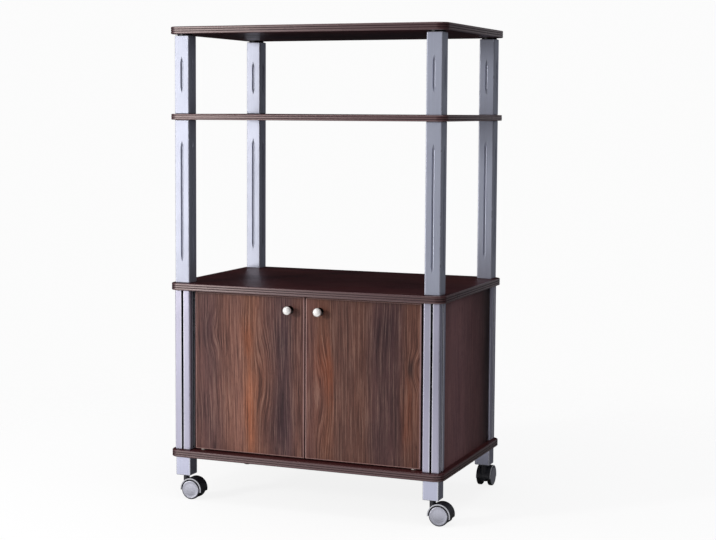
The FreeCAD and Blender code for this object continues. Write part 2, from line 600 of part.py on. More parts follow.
def make_caster(corner):
    """A hooded twin-wheel caster. Its own X runs from the swivel axis back towards the axle."""
    side_x, side_y = CORNERS[corner]
    turn = Rotation(Vector(0, 0, 1), TRAILS[corner])
    x, y = f"{side_x} * {POST_X}", f"{side_y} * {POST_Y}"
    name = f"{corner}_caster"
    axle_x, axle_z = "Size.caster_trail", "Size.wheel_radius"

    hood = new_body(f"{name}_hood", x, y, "0", turn)
    shell = new_sketch(hood, f"{name}_shell", "XZ_Plane")
    add_circle(shell, "Size.hood_radius", axle_x, axle_z)
    add_circle(shell, "Size.hood_radius - Size.hood_wall", axle_x, axle_z)
    pad(hood, shell, "Size.hood_width", midplane=True)
    # The shell is open under the two lines from its front and rear edges to the axle.
    far_front, far_rear = f"({axle_x} - 2 * Size.hood_radius)", f"({axle_x} + 2 * Size.hood_radius)"
    floor = "-Size.hood_radius"
    front_edge = f"{axle_z} - 2 * Size.hood_front_drop"
    rear_edge = f"{axle_z} - 2 * Size.hood_rear_drop"
    mouth = new_sketch(hood, f"{name}_mouth", "XZ_Plane")
    add_polygon(mouth, [(far_front, floor), (far_rear, floor), (far_rear, rear_edge), (axle_x, axle_z),
                        (far_front, front_edge)])
    cover = pocket(hood, mouth, "2 * Size.hood_width", midplane=True)
    dress(hood, "Fillet", cover, "Size.hood_round", lambda edge: is_rim(edge, size.hood_radius))
    web = new_sketch(hood, f"{name}_web", "XZ_Plane")
    add_circle(web, "Size.hood_radius - Size.hood_wall / 2", axle_x, axle_z)
    pad(hood, web, "Size.hood_web", midplane=True)
    # The web keeps a round of material under the axle and rises from there to both edges.
    under_axle = f"{axle_z} - Size.web_drop"
    foot = new_sketch(hood, f"{name}_web_foot", "XZ_Plane")
    add_polygon(foot, [(far_front, floor), (far_rear, floor), (far_rear, rear_edge),
                       (f"{axle_x} + Size.web_drop", under_axle), (f"{axle_x} - Size.web_drop", under_axle),
                       (far_front, front_edge)])
    pocket(hood, foot, "2 * Size.hood_web", midplane=True)
    boss_foot = "(Size.stem_bottom - Size.boss_floor)"
    boss = new_sketch(hood, f"{name}_boss", lift=boss_foot)
    add_circle(boss, "Size.boss_radius")
    boss_top = "(Size.caster_height - Size.socket_flange - Size.boss_gap)"
    pad(hood, boss, f"{boss_top} - {boss_foot}")
    stem_bore = new_sketch(hood, f"{name}_stem_bore", lift=boss_top)
    add_circle(stem_bore, "Size.stem_radius + Size.running_clearance")
    pocket(hood, stem_bore, f"{boss_top} - Size.stem_bottom + Size.stem_end_play")
    axle_bore = new_sketch(hood, f"{name}_axle_bore", "XZ_Plane")
    add_circle(axle_bore, "Size.axle_radius", axle_x, axle_z)
    pocket(hood, axle_bore, "2 * Size.hood_web", midplane=True)

    axle = new_body(f"{name}_axle", x, y, "0", turn)
    rod = new_sketch(axle, f"{name}_axle_rod", "XZ_Plane")
    add_circle(rod, "Size.axle_radius", axle_x, axle_z)
    pad(axle, rod, "Size.axle_length", midplane=True)

    # One wheel on each side of the web, open to the axle on its inner face.
    for wheel_name, way in (("left", -1), ("right", 1)):
        wheel = new_body(f"{name}_{wheel_name}_wheel", x, y, "0", turn)
        inner = f"({way} * Size.wheel_gap / 2)"
        lift = f"-{inner}"
        tread = new_sketch(wheel, f"{name}_{wheel_name}_tread", "XZ_Plane", lift)
        add_circle(tread, "Size.wheel_radius", axle_x, axle_z)
        pad(wheel, tread, "Size.wheel_width - Size.wheel_face_rise", backwards=way > 0)
        disc = new_sketch(wheel, f"{name}_{wheel_name}_disc", "XZ_Plane", lift)
        add_circle(disc, "Size.wheel_face_radius", axle_x, axle_z)
        raised = pad(wheel, disc, "Size.wheel_width", backwards=way > 0)
        shoulders = dress(wheel, "Fillet", raised, "Size.tread_round",
                          lambda edge: is_rim(edge, size.wheel_radius))
        outside = size.wheel_gap / 2 + size.wheel_width
        dress(wheel, "Fillet", shoulders, "Size.wheel_face_round",
              lambda edge: is_rim(edge, size.wheel_face_radius)
              and abs(abs(edge.CenterOfMass.y) - outside) < 0.01)
        bore = new_sketch(wheel, f"{name}_{wheel_name}_bore", "XZ_Plane", lift)
        add_circle(bore, "Size.axle_radius + Size.running_clearance", axle_x, axle_z)
        pocket(wheel, bore, "(Size.axle_length - Size.wheel_gap) / 2 + Size.axle_end_play",
               backwards=way < 0)


# ---------------------------------------------------------------- the stand
THICK = "Size.board_thickness"
THIN = "Size.shelf_thickness"
make_board("cabinet_base", THICK, LEG_TOP, bushes="top")
make_edging("cabinet_base_edging", THICK, LEG_TOP)
make_board("cabinet_top", THICK, CABINET_CEILING, bushes="bottom")
make_edging("cabinet_top_edging", THICK, CABINET_CEILING)
make_board("upper_shelf", THIN, SHELF_BOTTOM)
make_edging("upper_shelf_edging", THIN, SHELF_BOTTOM)
make_board("top_board", THICK, TOP_BOARD_BOTTOM, bores="blind")
make_edging("top_board_edging", THICK, TOP_BOARD_BOTTOM)
for place in CORNERS:
    make_post(f"{place}_leg", place, "Size.caster_height", "Size.leg_height", "leg")
    make_post(f"{place}_cabinet_post", place, BASE_TOP, "Size.cabinet_post_length", "grooved")
    make_post(f"{place}_middle_post", place, CABINET_TOP, "Size.middle_post_length")
    make_post(f"{place}_top_post", place, SHELF_TOP, "Size.top_post_length")
make_studs()
make_spacers()
make_side_panel("left_side_panel", -1)
make_side_panel("right_side_panel", 1)
make_back_panel()
make_pivot_bushes()
make_door("left", -1)
make_door("right", 1)
make_catch()
make_caster_sockets()
make_caster_stems()
for place in CORNERS:
    make_caster(place)
doc.recompute()

# ---------------------------------------------------------------- checks and files
for item in doc.Objects:
    faults = [state for state in item.State if state in ("Invalid", "Error")]
    if faults:
        raise SystemExit(f"{item.Label}: {faults}")
for node in NODES:
    if node.Shape.isNull() or not node.Shape.isValid() or not node.Shape.Solids:
        raise SystemExit(f"{node.Label}: no valid solid")
os.makedirs("parts", exist_ok=True)
for node in NODES:
    node.Shape.exportStep(os.path.join("parts", f"{node.Label}.step"))
    print(f"{node.Label}: {len(node.Shape.Solids)} solid(s), {node.Shape.Volume / 1000:.2f} cm3")
print(len(NODES), "nodes")
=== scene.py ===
# %% [markdown]
# # A microwave stand on casters, dressed for the studio
# The stand is flat-pack furniture: foil-covered boards with a plastic edging, silver lacquered
# posts between them, a cabinet with two doors, and twin-wheel casters under four short legs.
# The construction comes as a finished frame of solids. This lesson gives every surface its
# finish, and models again the pieces whose small roundings and rims catch the light.

# %% Load the frame
import math
import bpy
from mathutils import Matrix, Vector


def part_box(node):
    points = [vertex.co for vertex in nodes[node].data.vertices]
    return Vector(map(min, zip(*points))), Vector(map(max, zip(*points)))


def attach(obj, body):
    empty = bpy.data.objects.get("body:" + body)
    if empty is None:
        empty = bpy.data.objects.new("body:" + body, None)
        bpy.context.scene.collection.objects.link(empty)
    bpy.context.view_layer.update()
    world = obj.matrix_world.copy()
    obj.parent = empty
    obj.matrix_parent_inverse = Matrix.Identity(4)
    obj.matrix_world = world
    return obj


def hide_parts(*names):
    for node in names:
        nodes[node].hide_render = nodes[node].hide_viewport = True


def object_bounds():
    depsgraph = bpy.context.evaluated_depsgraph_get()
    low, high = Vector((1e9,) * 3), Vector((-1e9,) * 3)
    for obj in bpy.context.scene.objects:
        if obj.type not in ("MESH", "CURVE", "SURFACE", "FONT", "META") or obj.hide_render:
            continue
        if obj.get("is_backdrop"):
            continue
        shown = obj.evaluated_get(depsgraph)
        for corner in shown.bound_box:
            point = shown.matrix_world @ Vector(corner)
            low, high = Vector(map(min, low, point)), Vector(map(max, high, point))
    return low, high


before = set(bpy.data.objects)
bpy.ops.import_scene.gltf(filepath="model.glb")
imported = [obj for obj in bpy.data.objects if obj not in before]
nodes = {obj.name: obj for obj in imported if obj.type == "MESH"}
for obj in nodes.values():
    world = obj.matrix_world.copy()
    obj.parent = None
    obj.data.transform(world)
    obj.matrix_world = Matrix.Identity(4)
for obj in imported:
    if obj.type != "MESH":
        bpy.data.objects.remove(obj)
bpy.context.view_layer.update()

# %% [markdown]
# ## Names and sizes that everything shares
# A size that is typed in again in each place is soon wrong in one of them. The stand's four
# corners and four boards come back in every step, so their names are kept in two lists.

# %% Corners, boards and boxes
MM = 0.001
CORNERS = ["front_left", "front_right", "back_left", "back_right"]
BOARDS = ["cabinet_base", "cabinet_top", "upper_shelf", "top_board"]


def centre_of(node):
    low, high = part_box(node)
    return (low + high) / 2


def size_of(node):
    low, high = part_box(node)
    return high - low


board_low, board_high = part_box("cabinet_base_edging")
board_middle = centre_of("cabinet_base_edging")
print("boards:", [round(s / MM, 1) for s in size_of("cabinet_base_edging")], "mm")

# %% [markdown]
# ## Working with operators from a script
# An operator acts on whatever is selected, which is handy with a mouse and a trap in a script.
# So each helper here starts from nothing selected, takes hold of one object alone, and leaves
# edit mode when it is done. `settle` moves an object's place into its mesh: a pattern that is
# read at the object's own coordinates then stays the same wherever the piece stands.


# %% Helpers for modelling
def start_clean():
    if bpy.context.mode != "OBJECT":
        bpy.ops.object.mode_set(mode="OBJECT")
    bpy.ops.object.select_all(action="DESELECT")


def take(piece):
    """Selects one object alone and makes it the active one."""
    start_clean()
    piece.select_set(True)
    bpy.context.view_layer.objects.active = piece


def named(name):
    """The object that was just added, under its own name."""
    piece = bpy.context.active_object
    piece.name = name
    piece.data.name = name
    return piece


def edit(piece):
    take(piece)
    bpy.ops.object.mode_set(mode="EDIT")
    bpy.ops.mesh.select_all(action="SELECT")


def settle(piece):
    """Moves the object's place into its mesh, so that the object sits at the origin."""
    take(piece)
    bpy.ops.object.transform_apply(location=True, rotation=True, scale=True)
    return piece


def close_up(piece, smooth_angle=40):
    """Merges doubles, turns all normals outwards and shades smooth below an angle."""
    edit(piece)
    bpy.ops.mesh.remove_doubles(threshold=0.01 * MM)
    bpy.ops.mesh.normals_make_consistent(inside=False)
    bpy.ops.object.mode_set(mode="OBJECT")
    bpy.ops.object.shade_smooth_by_angle(angle=math.radians(smooth_angle))
    return piece


# %% [markdown]
# ## Patterns and copies
# A joiner who needs eight equal wheels makes a pattern first. What repeats on the stand is
# modelled once too, and duplicated. Linked duplicates would share one mesh and save memory;
# these get a mesh each, because each is moved into its place inside its own mesh.


# %% Copies of a pattern
def copied(pattern, name, move=(0, 0, 0), turn=0.0):
    """A copy with its own mesh, turned about the vertical through the origin and then moved."""
    take(pattern)
    bpy.ops.object.duplicate()
    twin = named(name)
    twin.rotation_euler = (0, 0, turn)
    twin.location = move
    return settle(twin)


def discard(*patterns):
    """Deletes the patterns once their copies are made."""
    for pattern in patterns:
        take(pattern)
        bpy.ops.object.delete()


# %% [markdown]
# ## A lathe out of extrude and resize
# Knobs, wheels and discs are turned pieces. `Spin` would turn a profile about an axis; here the
# profile is walked ring by ring instead: a filled circle is extruded along its axis and resized
# to the next radius. Both give the same shape, and this way each ring reads as one pair of
# numbers: how far along the axis, and how wide.

# %% The lathe
LATHE_SIDES = 64


def turned(name, rings, foot, axis):
    """rings holds (distance, radius) pairs in millimetres, from the foot along the axis."""
    start_clean()
    (at, radius), later = rings[0], rings[1:]
    bpy.ops.mesh.primitive_circle_add(vertices=LATHE_SIDES, radius=radius * MM,
                                      fill_type="NGON", location=(0, 0, at * MM))
    piece = settle(named(name))
    edit(piece)
    for distance, wide in later:
        bpy.ops.mesh.extrude_region_move(
            TRANSFORM_OT_translate={"value": (0, 0, (distance - at) * MM)})
        bpy.ops.transform.resize(value=(wide / radius, wide / radius, 1),
                                 center_override=(0, 0, distance * MM))
        at, radius = distance, wide
    bpy.ops.object.mode_set(mode="OBJECT")
    piece.rotation_euler = Vector(axis).to_track_quat("Z", "Y").to_euler()
    piece.location = foot
    settle(piece)
    return close_up(piece)


# %% [markdown]
# ## A band round a board
# T-shaped edging is pushed into a slot round each board. What shows of it isn't flat: its long
# arrises are rounded, and two narrow grooves part it into three reeds. A curve with a bevel
# profile could draw it. Here the band starts as a plane with bevelled corners whose outline is
# extruded upwards, one step of the profile at a time, because each ring can then be drawn in
# by exactly the same distance on every side.

# %% The band
BAND_SMOOTH_ANGLE = 35
CORNER_STEPS = 10


def draw_in(middle, height, wide, deep, old, new):
    """Takes the selected ring from one inset to another."""
    bpy.ops.transform.resize(
        value=((wide - 2 * new) / (wide - 2 * old), (deep - 2 * new) / (deep - 2 * old), 1),
        center_override=(middle.x, middle.y, height))


def banded(name, low, high, corner, profile, wall):
    """A ring round the box from low to high. profile: (height, inset) pairs in millimetres."""
    start_clean()
    middle = (low + high) / 2
    wide, deep = high.x - low.x, high.y - low.y
    bpy.ops.mesh.primitive_plane_add(size=1, location=(middle.x, middle.y, low.z))
    piece = named(name)
    piece.scale = (wide, deep, 1)
    settle(piece)
    edit(piece)
    bpy.ops.mesh.bevel(offset=corner, segments=CORNER_STEPS, affect="VERTICES")
    bpy.ops.mesh.delete(type="ONLY_FACE")
    bpy.ops.mesh.select_mode(type="EDGE")
    bpy.ops.mesh.select_all(action="SELECT")
    steps = [(height * MM, inset * MM) for height, inset in profile]
    steps += [(steps[-1][0], wall), (steps[0][0], wall), steps[0]]
    at_height, at_inset = steps[0]
    draw_in(middle, low.z + at_height, wide, deep, 0.0, at_inset)
    bpy.ops.transform.translate(value=(0, 0, at_height))
    for height, inset in steps[1:]:
        bpy.ops.mesh.extrude_edges_move(
            TRANSFORM_OT_translate={"value": (0, 0, height - at_height)})
        draw_in(middle, low.z + height, wide, deep, at_inset, inset)
        at_height, at_inset = height, inset
    return close_up(piece, BAND_SMOOTH_ANGLE)


# %% [markdown]
# ## Materials, and how their nodes are written down
# Each finish is a Principled shader fed by a few textures. In the editor its nodes would be
# laid out and wired by hand. A `Recipe` does the same one call at a time, so that a material
# reads from top to bottom. It writes into any node tree: a node group's, the room's or a
# material's.

# %% The recipe book
# A Mix node has sockets for numbers, vectors and colours; these are the colours' numbers.
MIX_SHARE, MIX_FIRST, MIX_SECOND, MIX_RESULT = 0, 6, 7, 2


class Recipe:
    """A node tree, built a node at a time."""

    def __init__(self, tree):
        self.tree = tree

    def join(self, source, target):
        self.tree.links.new(source, target)

    def feed(self, socket, value):
        """Joins a socket to this one, or sets this one's value."""
        if isinstance(value, bpy.types.NodeSocket):
            self.join(value, socket)
        else:
            socket.default_value = value

    def fill(self, node, inputs):
        for name, value in inputs.items():
            self.feed(node.inputs[name.replace("_", " ")], value)
        return node

    def add(self, kind, settings=None, **inputs):
        """A node of that kind. Inputs are sockets to join, or plain values."""
        node = self.tree.nodes.new("ShaderNode" + kind)
        for name, value in (settings or {}).items():
            setattr(node, name, value)
        return self.fill(node, inputs)

    def use(self, group, **inputs):
        """A node group placed in this tree; gives its outputs."""
        return self.add("Group", {"node_tree": group.tree}, **inputs).outputs

    def math(self, operation, first, second=0.0):
        node = self.add("Math", {"operation": operation})
        self.feed(node.inputs[0], first)
        self.feed(node.inputs[1], second)
        return node.outputs[0]

    def between(self, value, low, high, new_low=0.0, new_high=1.0, way="LINEAR"):
        """Maps a value from one range to another, held inside the new one."""
        return self.add("MapRange", {"interpolation_type": way}, Value=value, From_Min=low,
                        From_Max=high, To_Min=new_low, To_Max=new_high).outputs[0]

    def mix(self, share, first, second, way="MIX"):
        """Mixes two colours."""
        node = self.add("Mix", {"data_type": "RGBA", "blend_type": way})
        self.feed(node.inputs[MIX_SHARE], share)
        self.feed(node.inputs[MIX_FIRST], first)
        self.feed(node.inputs[MIX_SECOND], second)
        return node.outputs[MIX_RESULT]

    def ramp(self, value, stops):
        """A colour ramp with soft strips."""
        node = self.add("ValToRGB", Fac=value)
        node.color_ramp.interpolation = "B_SPLINE"
        elements = node.color_ramp.elements
        while len(elements) < len(stops):
            elements.new(0.5)
        for element, (place, tone) in zip(elements, stops):
            element.position = place
            element.color = tone
        return node.outputs["Color"]

    def place(self, scale=(1, 1, 1)):
        """The surface point in metres, scaled by a Mapping node."""
        where = self.add("TexCoord").outputs["Object"]
        return self.add("Mapping", Vector=where, Scale=scale).outputs[0]

    def bump(self, height, strength, distance):
        return self.add("Bump", Height=height, Strength=strength,
                        Distance=distance).outputs["Normal"]


# %% [markdown]
# ## A finish, and what wears it
# A `Finish` is the recipe of one material, with its Principled shader ready to be fed. A colour
# picker gives colours from 0 to 255 on a curve that suits the eye, but nodes calculate with
# light itself: the picker's numbers would come out far too pale, so `colour` turns them round
# first. `wear` dresses the frame's own nodes, whose meshes stay as they are.


# %% Finishes, colours and dressing
class Finish(Recipe):
    """The recipe of one material."""

    def __init__(self, name):
        self.material = bpy.data.materials.new(name)
        self.material.use_nodes = True
        super().__init__(self.material.node_tree)
        self.tree.nodes.clear()
        self.shader = self.add("BsdfPrincipled")
        self.add("OutputMaterial", Surface=self.shader.outputs["BSDF"])

    def set(self, **inputs):
        """Feeds the Principled shader."""
        self.fill(self.shader, inputs)


def colour(red, green, blue):
    """A screen colour, 0 to 255, as the linear values that nodes use."""
    channels = [c / 255 for c in (red, green, blue)]
    linear = [c / 12.92 if c <= 0.04045 else ((c + 0.055) / 1.055) ** 2.4 for c in channels]
    return (*linear, 1.0)


def wear(finish, *names):
    """Puts a finish on frame nodes."""
    for name in names:
        nodes[name].data.materials.clear()
        nodes[name].data.materials.append(finish.material)


print("mid grey 128 is", round(colour(128, 128, 128)[0], 3), "in linear light")

# %% [markdown]
# ## Node groups for what several finishes share
# Grain, smudges and wear come back in many materials. Copying their nodes into each would do
# until a number had to change. A node group is built once and placed in each material with
# values of its own. It takes and gives plain values, and the shader stays outside.


# %% Empty node groups
def new_group(name, takes, gives):
    """An empty node group with its sockets, and its two end nodes."""
    tree = bpy.data.node_groups.new(name, "ShaderNodeTree")
    for label, kind in takes:
        tree.interface.new_socket(label, in_out="INPUT", socket_type="NodeSocket" + kind)
    for label in gives:
        tree.interface.new_socket(label, in_out="OUTPUT", socket_type="NodeSocketFloat")
    return Recipe(tree), tree.nodes.new("NodeGroupInput"), tree.nodes.new("NodeGroupOutput")


# %% [markdown]
# ## Walnut grain
# A walnut board shows its growth rings as lines that run along the grain, swerve round knots
# and close into long arches where the saw cut them flat. A Wave texture could draw rings, but
# they would all be alike. Each ring is one year, so what matters is how far out in the tree a
# point lies. The group works that out first: the place across the board, pushed to and fro by
# a slow noise, by a small quick one and by the knots. Noises of that one number then draw
# lines, broad rings and patches that all follow the same swerves, with straight fibres and
# short pores over them. The vector comes in with the grain along its Z.

# %% The grain group
WOBBLE = 2.8 * MM
grain, entry, result = new_group(
    "walnut_grain", [("Vector", "Vector"), ("Swerve", "Float"), ("Knot", "Float")],
    ["Tree", "Lines", "Broad", "Fibres", "Pores", "Patch"])


def streaks(vector, scale, detail, roughness, kind="3D", start=(0, 0, 0), distortion=0.0):
    """A noise drawn out along the grain: the smaller a scale, the longer the streaks there."""
    where = grain.add("Mapping", Vector=vector, Scale=scale, Location=start).outputs[0]
    return grain.add("TexNoise", {"noise_dimensions": kind}, Vector=where, Scale=1.0,
                     Detail=detail, Roughness=roughness, Distortion=distortion).outputs["Fac"]


def pushed(noise, reach):
    """Turns a noise of 0 to 1 into a push to either side."""
    return grain.math("MULTIPLY", grain.math("SUBTRACT", noise, 0.5), reach)


point = entry.outputs["Vector"]
where = grain.add("SeparateXYZ", Vector=point).outputs
slow = pushed(streaks(point, (6.5, 6.5, 1.9), 1.5, 0.35), entry.outputs["Swerve"])
quick = pushed(streaks(point, (45, 45, 24), 2.0, 0.6), WOBBLE)
across = grain.math("ADD", where["X"], grain.math("ADD", slow, quick))
tree_place = grain.math("ADD", across, entry.outputs["Knot"])
grain.join(tree_place, result.inputs["Tree"])

# %% The marks that the grain draws
rings = grain.add("CombineXYZ", X=tree_place, Y=where["Z"]).outputs[0]
MARKS = {"Lines": (streaks(rings, (330, 7, 1), 4.0, 0.66, "2D"), 0.28, 0.72),
         "Broad": (streaks(rings, (60, 3.4, 1), 2.0, 0.5, "2D"), 0.30, 0.70),
         "Patch": (streaks(rings, (19, 8, 1), 3.0, 0.55, "2D", start=(3.7, 1.9, 0)), 0.36, 0.66),
         "Fibres": (streaks(point, (430, 430, 16), 4.0, 0.65, distortion=0.15), 0.34, 0.66),
         "Pores": (streaks(point, (1500, 1500, 70), 2.0, 0.5), 0.58, 0.70)}
for mark, (noise, low, high) in MARKS.items():
    grain.join(grain.between(noise, low, high), result.inputs[mark])
print("grain group:", len(grain.tree.nodes), "nodes")

# %% [markdown]
# ## Handled surfaces
# Nothing in a kitchen has one even gloss. This group gives every finish of the stand two
# things: a fine tooth for the bump, and soft smudges for the roughness. Both are noises, one
# under a millimetre fine and one as large as a palm.

# %% The handling group
handling, entry, result = new_group("handled_surface", [("Vector", "Vector")],
                                    ["Tooth", "Smudge"])
tooth = handling.add("TexNoise", Vector=entry.outputs["Vector"], Scale=1400.0, Detail=3.0,
                     Roughness=0.6).outputs["Fac"]
palm = handling.add("TexNoise", Vector=entry.outputs["Vector"], Scale=14.0, Detail=3.0,
                    Roughness=0.55).outputs["Fac"]
handling.join(tooth, result.inputs["Tooth"])
handling.join(handling.between(palm, 0.35, 0.7), result.inputs["Smudge"])
print("handling group:", len(handling.tree.nodes), "nodes")

# %% [markdown]
# ## The print of the foil
# Boards, doors and sides are chipboard under a printed foil. One noise with a colour ramp
# would give some wood or other. Here the layers are laid over each other as a printer lays
# inks. A ramp across the board sets out the strips, and it is read at the point's place in the
# tree, so that they swerve with the rings. Patches and stains tint them; pale and dark lines,
# fibres and pores follow. Each layer is one Mix node that multiplies, adds or covers.

# %% Walnut print
SWERVE = 36 * MM
PATCH_INK, BROAD_INK = (0.62, 0.63, 0.72, 1), (0.56, 0.54, 0.58, 1)
PALE_INK, DARK_INK = (0.100, 0.068, 0.052, 1), (0.36, 0.34, 0.38, 1)
FIBRE_INK, PORE_INK = (0.52, 0.50, 0.53, 1), (0.012, 0.008, 0.008, 1)


def oval(foil, vector, across, along, radius, height):
    """0 at a place on the board, 1 at the rim of an oval round it."""
    away = foil.add("Mapping", Vector=vector, Scale=(1 / radius, 0.0, 1 / height),
                    Location=(-across / radius, 0.0, -along / height)).outputs[0]
    return foil.add("VectorMath", {"operation": "LENGTH"}, Vector=away).outputs["Value"]


def walnut_print(foil, axes, strips, span, knots, stains, light, figure):
    """The colour of the printed wood, and the marks of its grain."""
    where = foil.add("SeparateXYZ", Vector=foil.place()).outputs
    across, through, along = [where[axis] for axis in axes]
    point = foil.add("CombineXYZ", X=across, Y=through, Z=along).outputs[0]
    pushes = 0.0
    for *spot, push in knots:
        near = foil.between(oval(foil, point, *spot), 0.0, 1.0, push, 0.0, "SMOOTHERSTEP")
        pushes = foil.math("ADD", near, pushes)
    marks = foil.use(grain, Vector=point, Swerve=SWERVE, Knot=pushes)
    skin = foil.ramp(foil.between(marks["Tree"], *span), strips)
    patches = foil.math("MULTIPLY", marks["Patch"], 0.6 * figure)
    skin = foil.mix(patches, skin, PATCH_INK, "MULTIPLY")
    swerved = foil.add("CombineXYZ", X=marks["Tree"], Z=along).outputs[0]
    for *spot, tint in stains:
        far = foil.math("ADD", oval(foil, swerved, *spot),
                        foil.math("MULTIPLY", marks["Broad"], 0.5))
        stain = foil.between(far, 0.3, 1.5, 1.0, 0.0, "SMOOTHSTEP")
        skin = foil.mix(stain, skin, (*tint, 1), "MULTIPLY")
    for share, ink, way in (
            (foil.math("MULTIPLY", marks["Broad"], 0.42 * figure), BROAD_INK, "MULTIPLY"),
            (foil.between(marks["Lines"], 0.54, 0.86, 0.0, 0.95 * light), PALE_INK, "ADD"),
            (foil.between(marks["Lines"], 0.46, 0.12, 0.0, 0.9 * light), DARK_INK, "MULTIPLY"),
            (foil.math("MULTIPLY", marks["Fibres"], 0.8 * light), FIBRE_INK, "MULTIPLY"),
            (foil.math("MULTIPLY", marks["Pores"], 0.5), PORE_INK, "MIX")):
        skin = foil.mix(share, skin, ink, way)
    return skin, marks


# %% [markdown]
# ## The tape round a door, with painted light
# A door's four narrow sides are covered with tape. On the front its cut edge shows as a paler
# rim, two to three millimetres wide: the tape's own paler tone with a painted highlight of the
# rounded arris over it. The narrow sides are painted dark, as painted shade of the gaps round
# the door. Four thin strips of mesh could stand for the tape. A mask costs less and can't come
# loose: the distance to the nearest side of the door, and the depth behind its front.

# %% Edge tape
# The pale rim: the tape's own tone, with a painted highlight of its rounded arris.
TAPE_HIGHLIGHT_FULL, TAPE_HIGHLIGHT_GONE = 2.2 * MM, 3.0 * MM
FRONT_FULL, FRONT_GONE = 1.4 * MM, 2.4 * MM


def taped(foil, skin, rough, marks, low, high):
    """Lays the tape over the print of a door whose box runs from low to high, with a painted
    highlight on its pale rim and painted shade on its narrow sides.
    """
    where = foil.add("SeparateXYZ", Vector=foil.place()).outputs
    wide, tall = [foil.math("MINIMUM", foil.math("SUBTRACT", where[axis], start),
                            foil.math("SUBTRACT", end, where[axis]))
                  for axis, start, end in (("X", low.x, high.x), ("Z", low.z, high.z))]
    band = foil.between(foil.math("MINIMUM", wide, tall), TAPE_HIGHLIGHT_FULL, TAPE_HIGHLIGHT_GONE, 1.0, 0.0)
    # The narrow sides behind the front turn to colour(48, 31, 32), painted shade of the gaps round
    # the door.
    side_shade = foil.between(where["Y"], low.y + FRONT_FULL, low.y + FRONT_GONE)
    tape = foil.mix(marks["Fibres"], colour(176, 142, 138), colour(146, 112, 108))
    skin = foil.mix(band, skin, foil.mix(side_shade, tape, colour(48, 31, 32)))
    return skin, foil.math("SUBTRACT", rough, foil.math("MULTIPLY", band, 0.14))


# %% [markdown]
# ## The foil as a surface
# The print still needs a skin. Foil is satin: its roughness is a little uneven where hands
# have been, and higher in the pores, which are pressed in and so also feed the bump. The
# grain group reads its grain along Z. `axes` names the axis across the grain, the one through
# the board and the one along it, so a side or a lying board only swaps letters.

# %% Walnut foil
UPRIGHT, SIDEWAYS, LYING = "XYZ", "YXZ", "YZX"


def walnut(name, strips, span, axes=UPRIGHT, knots=(), stains=(), light=1.0, figure=1.0,
           roughness=0.42, specular=0.25, tape=None):
    """strips: ramp stops over span, a (start, end) in metres across the grain. A knot is
    (across, along, radius, height, push), a stain (across, along, radius, height, tint).
    tape: the low and high corner of a taped door."""
    foil = Finish(name)
    skin, marks = walnut_print(foil, axes, strips, span, knots, stains, light, figure)
    touch = foil.use(handling, Vector=foil.place())
    rough = foil.math("ADD", roughness, foil.math("MULTIPLY", touch["Smudge"], 0.08))
    rough = foil.math("ADD", rough, foil.math("MULTIPLY", marks["Pores"], 0.15))
    if tape:
        skin, rough = taped(foil, skin, rough, marks, *tape)
    relief = foil.math("SUBTRACT", foil.math("MULTIPLY", touch["Tooth"], 0.25),
                       foil.math("MULTIPLY", marks["Pores"], 0.8))
    foil.set(Base_Color=skin, Roughness=rough, Normal=foil.bump(relief, 0.25, 0.1 * MM),
             Specular_IOR_Level=specular)
    return foil


# %% [markdown]
# ## The doors
# The two doors were cut from different runs of foil. The left one goes from plum at its hinge
# over tan and russet in the middle to a slate strip; the right one is darker, with one rust
# strip near the meeting edge. Marks are placed by shares of a door's width and height, as one
# would point at them, and `on_door` turns the shares into metres. The ramp's soft B-spline
# blends neighbouring strips, because ink has no hard edges.

# %% The left door
SHADOW, EMBER = (0.62, 0.58, 0.68), (1.18, 0.96, 0.78)
cocoa, plum, mauve, umber = [colour(*tone) for tone in (
    (114, 75, 67), (114, 78, 74), (119, 83, 77), (124, 82, 70))]
tan, russet, slate = colour(146, 100, 86), colour(150, 98, 76), colour(97, 68, 68)


def on_door(door, *marks):
    """Marks whose first two numbers are shares of the door's width and height."""
    low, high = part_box(door)
    return [(low.x + across * (high.x - low.x), low.z + up * (high.z - low.z), *rest)
            for across, up, *rest in marks]


def door_span(door):
    low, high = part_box(door)
    return low.x, high.x


left_foil = walnut(
    "walnut_left_door",
    [(0.00, cocoa), (0.08, plum), (0.20, mauve), (0.28, umber), (0.36, tan), (0.43, tan),
     (0.48, russet), (0.54, russet), (0.60, umber), (0.68, cocoa), (0.78, slate),
     (0.86, slate), (0.92, umber), (1.00, cocoa)],
    door_span("left_door"), tape=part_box("left_door"),
    knots=on_door("left_door", (0.14, 0.74, 0.030, 0.065, 0.009),
                  (0.66, 0.50, 0.036, 0.140, -0.013)),
    stains=on_door("left_door", (0.17, 0.76, 0.020, 0.045, SHADOW),
                   (0.79, 0.74, 0.017, 0.055, SHADOW), (0.77, 0.22, 0.022, 0.080, SHADOW),
                   (0.50, 0.72, 0.014, 0.055, EMBER), (0.51, 0.28, 0.014, 0.095, EMBER)))
wear(left_foil, "left_door")

